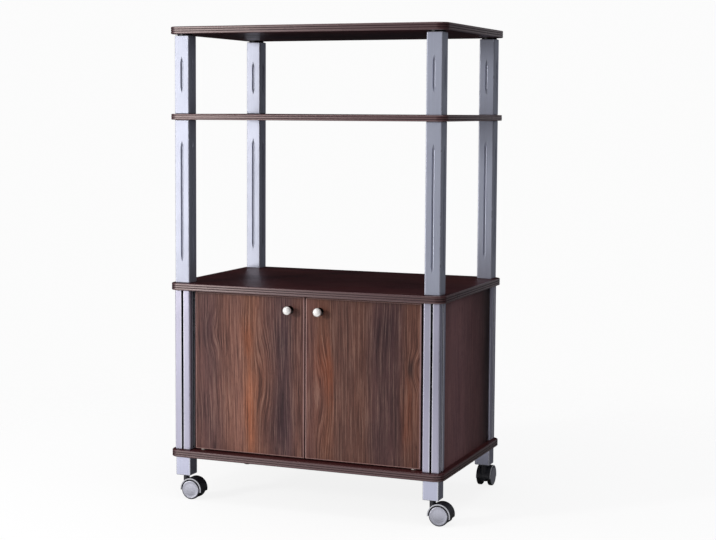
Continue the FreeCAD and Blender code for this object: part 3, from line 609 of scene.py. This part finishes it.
# %% The right door
DEEP_SHADOW, GLOW, FAINT_GLOW = (0.4, 0.42, 0.5), (1.3, 0.98, 0.76), (1.2, 0.97, 0.78)
rust, coffee, bronze = colour(120, 76, 60), colour(105, 70, 61), colour(109, 70, 58)
shade, soot = colour(86, 57, 56), colour(66, 43, 44)
right_foil = walnut(
    "walnut_right_door",
    [(0.00, cocoa), (0.08, cocoa), (0.15, rust), (0.22, rust), (0.28, coffee), (0.42, coffee),
     (0.50, bronze), (0.56, coffee), (0.62, shade), (0.70, shade), (0.84, shade),
     (0.90, bronze), (1.00, bronze)],
    door_span("right_door"), tape=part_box("right_door"), light=0.85, figure=0.7,
    knots=on_door("right_door", (0.96, 0.60, 0.030, 0.055, 0.011),
                  (0.18, 0.40, 0.032, 0.150, -0.015)),
    stains=on_door("right_door", (0.18, 0.56, 0.022, 0.080, GLOW),
                   (0.92, 0.34, 0.018, 0.085, FAINT_GLOW), (0.73, 0.84, 0.030, 0.055, SHADOW),
                   (0.96, 0.60, 0.013, 0.026, DEEP_SHADOW)))
wear(right_foil, "right_door")
for door in ("left_door", "right_door"):
    print(door, "is", round(size_of(door).x / MM, 1), "mm wide")

# %% [markdown]
# ## The sides, the back and the boards
# The sides have the same foil with a calmer figure, and painted shade darkens them towards the
# back edge. The boards are the darkest, with the grain from left to right. They could share one
# material, but the strips run across each board from its own front to its own back, so each
# kind has its own.

# %% Foils of the sides, the back and the boards
side_low, side_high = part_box("right_side_panel")
back_low, back_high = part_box("back_panel")
# back_shade, the last strip of the sides towards the back post, is painted shade.
back_shade, prune, fig = colour(46, 33, 35), colour(138, 99, 101), colour(109, 75, 77)
espresso, bark, mahogany = colour(70, 31, 33), colour(83, 39, 41), colour(92, 45, 44)
side_foil = walnut(
    "walnut_sides", [(0.0, fig), (0.15, prune), (0.4, prune), (0.6, fig), (0.76, fig),
                     (0.92, back_shade), (1.0, back_shade)],
    (side_low.y, side_high.y), SIDEWAYS, light=0.35, figure=0.6, roughness=0.46, specular=0.12)
back_foil = walnut(
    "walnut_back", [(0.0, soot), (0.3, shade), (0.5, coffee), (0.7, shade), (1.0, soot)],
    (back_low.x, back_high.x), light=0.5, roughness=0.5, specular=0.12)
board_foil = walnut(
    "walnut_boards", [(0.0, espresso), (0.3, bark), (0.5, espresso), (0.75, mahogany),
                      (1.0, espresso)],
    (board_low.y, board_high.y), LYING, light=0.28, roughness=0.38, specular=0.12)
wear(side_foil, "left_side_panel", "right_side_panel")
wear(back_foil, "back_panel")
wear(board_foil, *BOARDS)
print("board foil:", len(board_foil.tree.nodes), "nodes")

# %% [markdown]
# ## Painted highlights on arrises and painted shade in grooves
# The arrises of a lacquered post and the lips of its groove get a painted highlight, a paler
# silver, and the bottom of a groove gets painted shade, a near black. Both could be painted by
# hand, but they are matters of place. All posts stand the same way round in the four corners,
# so two folds with ABSOLUTE bring every point to one corner's own axes: u and v are its
# distances from the post's middle. Near an arris both are large, in a groove one is small. Only
# the cabinet posts' long groove is treated so, and the painted highlight on its lip is wider on
# their side faces, where v counts for less.

# %% The group of painted post highlights and groove shade
SIDE_LIP = 0.62
light_and_shade, entry, result = new_group(
    "post_light_and_shade", [("Vector", "Vector"), ("Half", "Float"), ("Slit", "Float"),
                    ("Low", "Float"), ("High", "Float")], ["Rim", "Lip", "Groove"])
half, slit = entry.outputs["Half"], entry.outputs["Slit"]
where = light_and_shade.add("SeparateXYZ", Vector=entry.outputs["Vector"]).outputs
post_middle = centre_of("back_right_middle_post")


def folded(value, out):
    """How far a place is from the middle of a post that stands at either side."""
    return light_and_shade.math("ABSOLUTE", light_and_shade.math("SUBTRACT", light_and_shade.math("ABSOLUTE", value), out))


u = folded(where["X"], post_middle.x)
v = folded(light_and_shade.math("SUBTRACT", where["Y"], board_middle.y), post_middle.y - board_middle.y)
from_arris = light_and_shade.math("SUBTRACT", half, light_and_shade.math("MINIMUM", u, v))
from_face = light_and_shade.math("SUBTRACT", half, light_and_shade.math("MAXIMUM", u, v))
from_end = light_and_shade.math("MINIMUM", light_and_shade.math("SUBTRACT", where["Z"], entry.outputs["Low"]),
                       light_and_shade.math("SUBTRACT", entry.outputs["High"], where["Z"]))
from_slit = light_and_shade.math("MINIMUM", u, light_and_shade.math("MULTIPLY", v, SIDE_LIP))
from_slit = light_and_shade.math("SUBTRACT", from_slit, slit)

# %% The three masks: painted highlight on rims and lips, painted shade in grooves
# Rim and Lip say where a highlight is painted on the silver, Groove where shade is painted.
rim = light_and_shade.math("MAXIMUM", light_and_shade.between(from_arris, 1.2 * MM, 3.0 * MM, 1.0, 0.0),
                  light_and_shade.between(from_end, 0.8 * MM, 2.2 * MM, 1.0, 0.0))
lip = light_and_shade.math("MULTIPLY", light_and_shade.between(from_slit, 1.0 * MM, 2.6 * MM, 1.0, 0.0),
                  light_and_shade.math("GREATER_THAN", slit, 0.0))
groove = light_and_shade.math("MULTIPLY", light_and_shade.between(from_slit, 0.0, 0.4 * MM, 1.0, 0.0),
                     light_and_shade.between(from_face, 0.2 * MM, 0.8 * MM))
for mask, value in (("Rim", rim), ("Lip", lip), ("Groove", groove)):
    light_and_shade.join(value, result.inputs[mask])
print("rubbed post group:", len(light_and_shade.tree.nodes), "nodes")

# %% [markdown]
# ## Silver lacquer
# The posts are fibreboard wrapped and sprayed silver. A plain metal would look like foil; a
# metallic paint is fine flakes in a satin lacquer, so it is only partly metallic. Voronoi
# cells make the flakes, and a noise drawn out upwards makes the faint lines of the wrap. The
# legs are a little brighter and more metallic than the posts above them. On the posts, painted
# highlights brighten the arrises and groove lips, and painted shade darkens the grooves. The
# same recipe, without that painted light and shade, also serves the knobs and the wheels' discs.

# %% Silver lacquer
# The paler silver of the painted highlights, and the near black of the painted shade in grooves.
HIGHLIGHT_SILVER, GROOVE_SHADE = colour(240, 240, 252), colour(20, 20, 27)


def silver(name, tone, metal, roughness=0.28, post=None, highlight_share=0.0):
    """post: the values that the group of painted post highlights and groove shade takes, as a
    dictionary.
    """
    lacquer = Finish(name)
    point = lacquer.place()
    wrap = lacquer.add("TexNoise", Vector=lacquer.place(scale=(900, 900, 9)), Scale=1.0,
                       Detail=3.0).outputs["Fac"]
    flakes = lacquer.add("TexVoronoi", Vector=point, Scale=2600.0).outputs["Distance"]
    touch = lacquer.use(handling, Vector=point)
    bright = lacquer.math("MULTIPLY", lacquer.between(flakes, 0.1, 0.9, 1.06, 0.94),
                          lacquer.between(wrap, 0.3, 0.7, 0.95, 1.04))
    grey = lacquer.add("CombineColor", Red=bright, Green=bright, Blue=bright).outputs[0]
    base = lacquer.mix(1.0, colour(*tone), grey, "MULTIPLY")
    rough = lacquer.math("ADD", roughness, lacquer.math("MULTIPLY", touch["Smudge"], 0.08))
    if post:
        marks = lacquer.use(light_and_shade, Vector=point, **post)
        # Painted highlight on lips and arrises, and painted shade in the groove.
        painted_highlight = lacquer.math("MAXIMUM", lacquer.math("MULTIPLY", marks["Lip"], 0.7),
                            lacquer.math("MULTIPLY", marks["Rim"], highlight_share))
        base = lacquer.mix(marks["Groove"], lacquer.mix(painted_highlight, base, HIGHLIGHT_SILVER), GROOVE_SHADE)
        metal = lacquer.math("SUBTRACT", metal, lacquer.math("MULTIPLY", painted_highlight, 0.35))
        rough = lacquer.math("SUBTRACT", rough, lacquer.math("MULTIPLY", painted_highlight, 0.1))
    relief = lacquer.math("ADD", lacquer.math("MULTIPLY", wrap, 0.5),
                          lacquer.math("MULTIPLY", touch["Tooth"], 0.4))
    lacquer.set(Base_Color=base, Metallic=metal, Roughness=rough,
                Normal=lacquer.bump(relief, 0.2, 0.06 * MM))
    return lacquer


# %% The posts, by kind: groove in mm (negative for none), share of painted arris highlight, tone and metal
POSTS = (("leg", -1.0, 0.7, (202, 204, 226), 0.92),
         ("cabinet_post", 2.0, 0.2, (183, 181, 201), 0.72),
         ("middle_post", -1.0, 0.2, (180, 184, 201), 0.72),
         ("top_post", -1.0, 0.2, (180, 184, 201), 0.72))
for kind, slit, highlight_share, tone, metal in POSTS:
    low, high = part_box(f"front_left_{kind}")
    side = high.x - low.x
    post = {"Half": side / 2, "Slit": slit * MM, "Low": low.z, "High": high.z}
    post_silver = silver(f"silver_{kind}", tone, metal, post=post, highlight_share=highlight_share)
    wear(post_silver, *[f"{corner}_{kind}" for corner in CORNERS])
    print(f"{kind}: side {side / MM:.1f} mm, from {low.z:.3f} to {high.z:.3f} m")

# %% [markdown]
# ## Plastics
# Sockets, spacers, bushes and pins are moulded plastic. Even a black moulding is never one
# flat tone: it is cloudy from its flow, a bit matt where it is handled, and has the fine tooth
# of its mould. One recipe with a tone, a roughness and a strength for the tooth covers them
# all. The door pins and the catch are pale nylon, the bushes round the pins brown.

# %% Moulded plastic
FLOW_TINT = (0.55, 0.55, 0.55, 1)


def plastic(name, tone, roughness, tooth):
    moulded = Finish(name)
    point = moulded.place()
    touch = moulded.use(handling, Vector=point)
    flow = moulded.add("TexNoise", Vector=point, Scale=120.0, Detail=4.0).outputs["Fac"]
    base = moulded.mix(moulded.math("MULTIPLY", flow, 0.16), colour(*tone), FLOW_TINT,
                       "MULTIPLY")
    rough = moulded.math("ADD", roughness, moulded.math("MULTIPLY", touch["Smudge"], 0.1))
    moulded.set(Base_Color=base, Roughness=rough,
                Normal=moulded.bump(touch["Tooth"], tooth, 0.08 * MM))
    return moulded


wear(plastic("socket_plastic", (46, 46, 52), 0.3, 0.25), "caster_sockets")
wear(plastic("spacer_plastic", (14, 14, 16), 0.18, 0.08), "top_post_spacers")
wear(plastic("brown_nylon", (66, 50, 48), 0.45, 0.15), "pivot_bushes")
wear(plastic("pale_nylon", (214, 205, 198), 0.4, 0.15), "left_door_pins", "right_door_pins",
     "magnetic_catch")

# %% [markdown]
# ## Plated steel
# Studs, stems, axles, screws and strike plates are zinc plated. Metallic is 1 here, because
# plating is bare metal. Smudges that darken it, and the same tooth as everywhere, read as
# roughness this time, keep it from looking like a mirror.

# %% Plated steel
def steel(name, tone, roughness):
    plated = Finish(name)
    touch = plated.use(handling, Vector=plated.place())
    dull = colour(*[channel * 0.88 for channel in tone])
    rough = plated.math("ADD", roughness, plated.math("MULTIPLY", touch["Tooth"], 0.12))
    plated.set(Base_Color=plated.mix(touch["Smudge"], colour(*tone), dull), Metallic=1.0,
               Roughness=rough, Normal=plated.bump(touch["Tooth"], 0.15, 0.05 * MM))
    return plated


wear(steel("plated_steel", (190, 190, 188), 0.3), "connecting_studs", "caster_stems",
     *[f"{side}_{fitting}" for side in ("left", "right")
       for fitting in ("knob_screw", "strike_plate")],
     *[f"{corner}_caster_axle" for corner in CORNERS])
print("materials so far:", len(bpy.data.materials))

# %% [markdown]
# ## Hoods with a painted highlight on the rim
# A hood's two rims are painted pale grey as a highlight of their rounded shoulders, while its
# back stays black. The rim is a matter of place again: how far a point lies from the hood's
# middle along the axle. `from_socket` asks the shader what already feeds its colour, and the
# painted rim highlight is mixed in between.

# %% Hood plastic, one for each corner
RIM_START, RIM_FULL = 1.2 * MM, 0.5 * MM


def hood_finish(corner):
    low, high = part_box(f"{corner}_caster_hood")
    axle = size_of(f"{corner}_caster_axle")
    axis, number = ("X", 0) if axle.x > axle.y else ("Y", 1)
    middle, half = (low[number] + high[number]) / 2, (high[number] - low[number]) / 2
    hood = plastic(f"hood_plastic_{corner}", (44, 44, 50), 0.3, 0.25)
    where = hood.add("SeparateXYZ", Vector=hood.place()).outputs
    out = hood.math("ABSOLUTE", hood.math("SUBTRACT", where[axis], middle))
    # The pale grey colour(186, 187, 194) on the rims is a painted highlight.
    rim = hood.between(out, half - RIM_START, half - RIM_FULL)
    black = hood.shader.inputs["Base Color"].links[0].from_socket
    hood.set(Base_Color=hood.mix(rim, black, colour(186, 187, 194)))
    print(f"{corner} hood: axle along {axis}, {2 * half / MM:.1f} mm wide")
    return hood


for corner in CORNERS:
    wear(hood_finish(corner), f"{corner}_caster_hood")

# %% [markdown]
# ## Edging plastic
# The edging is glossier than any other plastic of the stand: a dark brown body under a clear
# skin. A coat on the Principled shader gives it that second, warm highlight, and its weight and
# tone differ a little from board to board, with the upper shelf's band paler still as a painted
# highlight. These numbers are the same all over a band, so they go straight on the shader's
# sockets. The grooves keep a matt, darker plastic that stands for dust and painted shade.

# %% Edging plastics
# The upper shelf's paler tone (92, 70, 72) is a painted highlight.
EDGING_TONES_AND_HIGHLIGHT = {"cabinet_base": ((70, 42, 45), 0.65), "cabinet_top": ((70, 44, 46), 1.0),
                "upper_shelf": ((92, 70, 72), 1.0), "top_board": ((70, 46, 48), 1.0)}
edging_plastics = {}
for board, (tone, coat) in EDGING_TONES_AND_HIGHLIGHT.items():
    edging_plastics[board] = plastic(f"{board}_edging_plastic", tone, 0.26, 0.12)
    edging_plastics[board].set(
        Coat_Weight=coat, Coat_Roughness=0.28, Coat_IOR=1.9, Coat_Tint=(1.0, 0.84, 0.83, 1),
        Specular_IOR_Level=0.8 * coat, Specular_Tint=(1.0, 0.78, 0.80, 1))
# Darker, matt plastic in the grooves: dust and painted shade.
groove_dust_and_shade = plastic("edging_groove_dust_and_shade", (34, 18, 20), 0.5, 0.2)
print("edging plastics:", ", ".join(edging_plastics))

# %% [markdown]
# ## The edging, modelled
# The profile is given as heights and insets in millimetres: a rounded arris, then a groove,
# and the same mirrored above the middle. The upper shelf is thinner than the other three
# boards, so two bands are modelled and copied, and each copy is lifted to its board. The
# grooves' faces are found by their height and take the second material, a darker plastic for
# dust and painted shade.

# %% Edging patterns
EDGING_WALL = 2.2 * MM
EDGING_CORNER = 20 * MM
GROOVE_PLACE, GROOVE_HALF = 2.2, 0.7
ARRIS = [(0.0, 1.8), (0.14, 1.1), (0.53, 0.53), (1.1, 0.14), (1.8, 0.0)]
GROOVE = [(-0.95, 0.0), (-0.6, 0.1), (-0.35, 0.7), (0.35, 0.7), (0.6, 0.1), (0.95, 0.0)]


def edging_pattern(board):
    """The band of one board, with its two grooves in the second material."""
    low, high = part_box(f"{board}_edging")
    thick, middle = (high.z - low.z) / MM, (low.z + high.z) / 2
    lower = ARRIS + [(thick / 2 - GROOVE_PLACE + up, inset) for up, inset in GROOVE]
    profile = lower + [(thick - height, inset) for height, inset in reversed(lower)]
    band = banded(f"{board}_pattern", low, high, EDGING_CORNER, profile, EDGING_WALL)
    band.data.materials.append(edging_plastics[board].material)
    band.data.materials.append(groove_dust_and_shade.material)
    for face in band.data.polygons:
        if abs(abs(face.center.z - middle) - GROOVE_PLACE * MM) < GROOVE_HALF * MM:
            face.material_index = 1
    return band


edging_patterns = {board: edging_pattern(board) for board in ("upper_shelf", "cabinet_base")}

# %% Edging round each board
for board in BOARDS:
    model = board if board in edging_patterns else "cabinet_base"
    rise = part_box(f"{board}_edging")[0].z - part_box(f"{model}_edging")[0].z
    band = copied(edging_patterns[model], f"{board}_edging_band", move=(0, 0, rise))
    band.data.materials[0] = edging_plastics[board].material
    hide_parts(f"{board}_edging")
    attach(band, "stand")
discard(*edging_patterns.values())
print("edging:", len(BOARDS), "bands of", len(band.data.polygons), "faces")

# %% [markdown]
# ## Door knobs
# A knob is turned from light metal: a rosette on the door and a slim neck, both dark, and a
# wide silver head with a softly domed face. The head's rings count back from the knob's full
# reach and radius, so it fills its box whatever size the frame gives. The left knob is turned
# on the lathe, and the right one is its copy, moved over to the other door.

# %% Knobs
low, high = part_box("left_door_knob")
foot = Vector(((low.x + high.x) / 2, high.y, (low.z + high.z) / 2))
reach, head = (high.y - low.y) / MM, (high.x - low.x) / 2 / MM
ROSETTE = [(0, 8.0), (0.9, 8.2), (1.8, 7.8), (2.6, 6.4)]
NECK = [(3.6, 4.8), (reach - 9.0, 4.3)]
HEAD = [(reach - 6.6, head - 1.2), (reach - 5.6, head), (reach - 3.0, head),
        (reach - 1.5, head - 0.8), (reach - 0.6, head - 2.4), (reach - 0.15, head - 4.6),
        (reach, 1.2)]
NECK_END = reach - 6.8
left_knob = turned("left_knob", ROSETTE + NECK + HEAD, foot, (0, -1, 0))
for finish in (silver("knob_silver", (252, 250, 248), metal=0.55, roughness=0.36),
               steel("knob_neck_steel", (52, 46, 46), 0.22)):
    left_knob.data.materials.append(finish.material)
for face in left_knob.data.polygons:
    if foot.y - face.center.y < NECK_END * MM:
        face.material_index = 1
right_knob = copied(left_knob, "right_knob",
                    move=centre_of("right_door_knob") - centre_of("left_door_knob"))
for side, knob in (("left", left_knob), ("right", right_knob)):
    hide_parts(f"{side}_door_knob")
    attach(knob, f"{side}_door")
print(f"knobs: {2 * head:.1f} mm wide, {reach:.1f} mm out, {len(left_knob.data.polygons)} faces")

# %% [markdown]
# ## Caster wheels
# Each wheel is a black tread with rounded shoulders, and a silver disc pressed into its outer
# face. Eight of each are needed, so one of each is turned at the origin, with its axle along X
# and its inner face at zero.

# %% Wheel patterns
wheel = size_of("front_left_caster_left_wheel")
thick, radius = min(wheel.x, wheel.y) / MM, wheel.z / 2 / MM
AT_ORIGIN, ALONG_X = (0, 0, 0), (1, 0, 0)
tread_pattern = turned("tread_pattern", [
    (0, radius - 3), (0.4, radius - 1.6), (1.6, radius - 0.3), (2.6, radius),
    (thick - 3.4, radius), (thick - 2.2, radius - 0.15), (thick - 1.4, radius - 0.5),
    (thick - 1.1, radius - 0.9), (thick - 1.5, radius - 1.1), (thick - 1.5, 4.0)],
    AT_ORIGIN, ALONG_X)
tread_plastic = plastic("tread_plastic", (26, 26, 29), 0.38, 0.2)
tread_pattern.data.materials.append(tread_plastic.material)
disc_pattern = turned("disc_pattern", [
    (thick - 1.7, radius - 1.5), (thick - 1.1, radius - 1.5), (thick - 0.55, radius - 1.8),
    (thick - 0.2, radius - 2.5), (thick - 0.1, radius - 3.4), (thick - 0.35, radius - 4.4),
    (thick - 0.3, radius - 9), (thick - 0.2, radius - 14), (thick - 0.15, 2.0)],
    AT_ORIGIN, ALONG_X)
disc_silver = silver("disc_silver", (210, 211, 225), metal=0.85, roughness=0.34)
disc_pattern.data.materials.append(disc_silver.material)
print(f"wheel: {2 * radius:.1f} mm across, {thick:.1f} mm thick")

# %% [markdown]
# ## Eight wheels from two patterns
# A wheel faces away from its hood's middle. So its axle's direction is the short side of its
# own box, with the sign that leads away from the hood, and the copies are turned about the
# vertical until their X points that way. With eight wheels that stand four different ways,
# boxes make fewer slips than turning by hand.

# %% Wheels and discs
for corner in CORNERS:
    hood_middle = centre_of(f"{corner}_caster_hood")
    for side in ("left", "right"):
        node = f"{corner}_caster_{side}_wheel"
        middle, size = centre_of(node), size_of(node)
        axis = Vector((1, 0, 0)) if size.x < size.y else Vector((0, 1, 0))
        if (middle - hood_middle).dot(axis) < 0:
            axis = -axis
        inner = middle - axis * (thick / 2 * MM)
        turn = math.atan2(axis.y, axis.x)
        tread = copied(tread_pattern, f"{corner}_{side}_tread", inner, turn)
        disc = copied(disc_pattern, f"{corner}_{side}_disc", inner, turn)
        for piece in (tread, disc):
            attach(piece, f"{corner}_{side}_wheel")
        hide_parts(node)
discard(tread_pattern, disc_pattern)
print("wheels:", 2 * len(CORNERS))

# %% [markdown]
# ## The studio floor
# The floor is a wide disc that turns see-through towards its rim, so no horizon shows. It
# shines in two ways, told apart with a Light Path node. The camera sees it nearly white. The
# stand gets much less light from it, and mostly from the part in front: light from below the
# boards would wipe out their shadows. A grey floor lit until it is white is the other way, but
# the stand would be bleached first.

# %% Floor
FLOOR_RADIUS, FLOOR_DROP = 3.0, 0.2 * MM
FADE_START, FADE_END = 0.7, 1.7
SHINE_ENDS, SHINE_FULL = -0.20, -0.32
start_clean()
bpy.ops.mesh.primitive_circle_add(vertices=96, radius=FLOOR_RADIUS, fill_type="NGON",
                                  location=(0, 0, -FLOOR_DROP))
floor = settle(named("studio_floor"))
floor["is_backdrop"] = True
ground = Finish("studio_ground")
point = ground.place()
far = ground.add("VectorMath", {"operation": "LENGTH"}, Vector=point).outputs["Value"]
where = ground.add("SeparateXYZ", Vector=point).outputs
rays = ground.add("LightPath").outputs
in_front = ground.between(where["Y"], SHINE_ENDS, SHINE_FULL, 0.02, 1.0, "SMOOTHSTEP")
shine = ground.math("ADD", 0.18, ground.math("MULTIPLY", rays["Is Glossy Ray"], 0.54))
glow = ground.math("MAXIMUM", ground.math("MULTIPLY", rays["Is Camera Ray"], 0.86),
                   ground.math("MULTIPLY", shine, in_front))
ground.set(Base_Color=(0.14, 0.14, 0.14, 1), Roughness=0.85, Specular_IOR_Level=0.1,
           Emission_Color=(1, 1, 1, 1), Emission_Strength=glow,
           Alpha=ground.between(far, FADE_START, FADE_END, 1.0, 0.0, "SMOOTHSTEP"))
floor.data.materials.append(ground.material)
print("floor:", 2 * FLOOR_RADIUS, "m across, fading from", FADE_START, "m out")

# %% [markdown]
# ## The studio room
# The room is a World. A plain white one would light every side alike and make the silver
# dull. So it answers by kind of ray too: white to the camera, soft and stronger from the upper
# front left to matt surfaces, and to mirrored rays dark, with a bright wall at the front left
# and a faint one behind. A `lobe` is such a wall, soft towards its edge.

# %% Room
room = bpy.data.worlds.new("studio_room")
bpy.context.scene.world = room
room.use_nodes = True
room.cycles.sampling_method = "NONE"
room.node_tree.nodes.clear()
studio = Recipe(room.node_tree)
direction = studio.add("TexCoord").outputs["Generated"]
BRIGHT_WALL, FAINT_WALL, OPEN_SIDE = (-0.74, -0.66, 0.1), (0.21, 1.0, 0.05), (-0.55, -0.65, 0.7)


def backdrop(tint, strength):
    return studio.add("Background", Color=(*tint, 1), Strength=strength).outputs[0]


def either(share, first, second):
    node = studio.add("MixShader", Fac=share)
    studio.join(first, node.inputs[1])
    studio.join(second, node.inputs[2])
    return node.outputs[0]


def lobe(towards, start):
    """1 in one direction, falling to 0 where the cosine to it is start."""
    node = studio.add("VectorMath", {"operation": "DOT_PRODUCT"}, Vector=direction)
    node.inputs[1].default_value = Vector(towards).normalized()
    return studio.between(node.outputs["Value"], start, 1.0, way="SMOOTHSTEP")


mirrored = either(lobe(BRIGHT_WALL, 0.72), backdrop((0.8, 0.85, 1.0), 0.03),
                  backdrop((0.93, 0.95, 1.0), 0.8))
mirrored = either(lobe(FAINT_WALL, 0.957), mirrored, backdrop((0.9, 0.93, 1.0), 0.25))
diffuse = either(lobe(OPEN_SIDE, -0.6), backdrop((0.97, 0.98, 1.0), 0.24),
                 backdrop((0.98, 0.98, 1.0), 0.60))
rays = studio.add("LightPath").outputs
lit = either(rays["Is Glossy Ray"], diffuse, mirrored)
shown = either(rays["Is Camera Ray"], lit, backdrop((1.0, 1.0, 1.0), 0.97))
studio.add("OutputWorld", Surface=shown)
print("room:", len(studio.tree.nodes), "nodes")

# %% [markdown]
# ## The lamps
# Four area lamps do the lighting: a large warm key box at the front left, a small stronger one
# before it, a fill box at the front right and a box overhead. The small key draws the
# shadows that the large one leaves too soft. It and the fill are hidden from mirrored rays,
# since they would show as hard white panes in the silver.

# %% Soft boxes
WHITE = (1.0, 1.0, 1.0)
# name, place, height aimed at, width and height, watts, tint, seen in reflections
LAMPS = (("key_box", (-2.35, -2.85, 0.8), 0.5, 1.4, 2.2, 28, (1.0, 0.965, 0.90), True),
         ("key_spot", (-2.2, -2.7, 1.3), 0.4, 0.4, 0.4, 58, WHITE, False),
         ("fill_box", (1.9, -3.0, 1.5), 0.5, 0.7, 1.8, 15, WHITE, False),
         ("top_box", (0.2, -0.3, 3.0), 0.5, 2.0, 1.6, 22, WHITE, True))
for name, place, aim, wide, tall, power, tint, mirrors in LAMPS:
    start_clean()
    bpy.ops.object.light_add(type="AREA", location=place)
    lamp = bpy.context.active_object
    lamp.name = name
    lamp.data.shape = "RECTANGLE"
    lamp.data.size, lamp.data.size_y = wide, tall
    lamp.data.energy = power
    lamp.data.color = tint
    lamp.visible_glossy = mirrors
    lamp.rotation_euler = (Vector((0, 0, aim)) - Vector(place)).to_track_quat("-Z", "Y").to_euler()
    print(f"{name}: {wide} x {tall} m, {power} W")

# %% [markdown]
# ## The camera
# A long lens looks from the front right, above the middle of the stand and tipped down a
# little, so the posts stay nearly upright. Its length is given in pixels of a picture 716
# pixels wide, and the millimetres follow from the sensor's width. The small shift moves the
# picture without turning the camera.

# %% Camera
PICTURE_WIDTH, FOCAL_PIXELS, SENSOR = 716, 1584.4, 36.0
EYE = (1.2635, board_middle.y - 3.0847, 0.8145)
TIPPED, ROLLED, TURNED = -0.0831, -0.0043, 0.3951
start_clean()
bpy.ops.object.camera_add(location=EYE, rotation=(math.pi / 2 + TIPPED, ROLLED, TURNED))
camera = bpy.context.active_object
camera.data.sensor_width = SENSOR
camera.data.lens = SENSOR * FOCAL_PIXELS / PICTURE_WIDTH
camera.data.shift_x, camera.data.shift_y = 0.04, -0.04
camera.data.clip_start, camera.data.clip_end = 0.05, 60
bpy.context.scene.camera = camera
bpy.context.scene.view_settings.view_transform = "Standard"
print("lens:", round(camera.data.lens, 1), "mm")

# %% Finish
low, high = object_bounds()
print("dressed:", [round(s, 4) for s in high - low], "m")
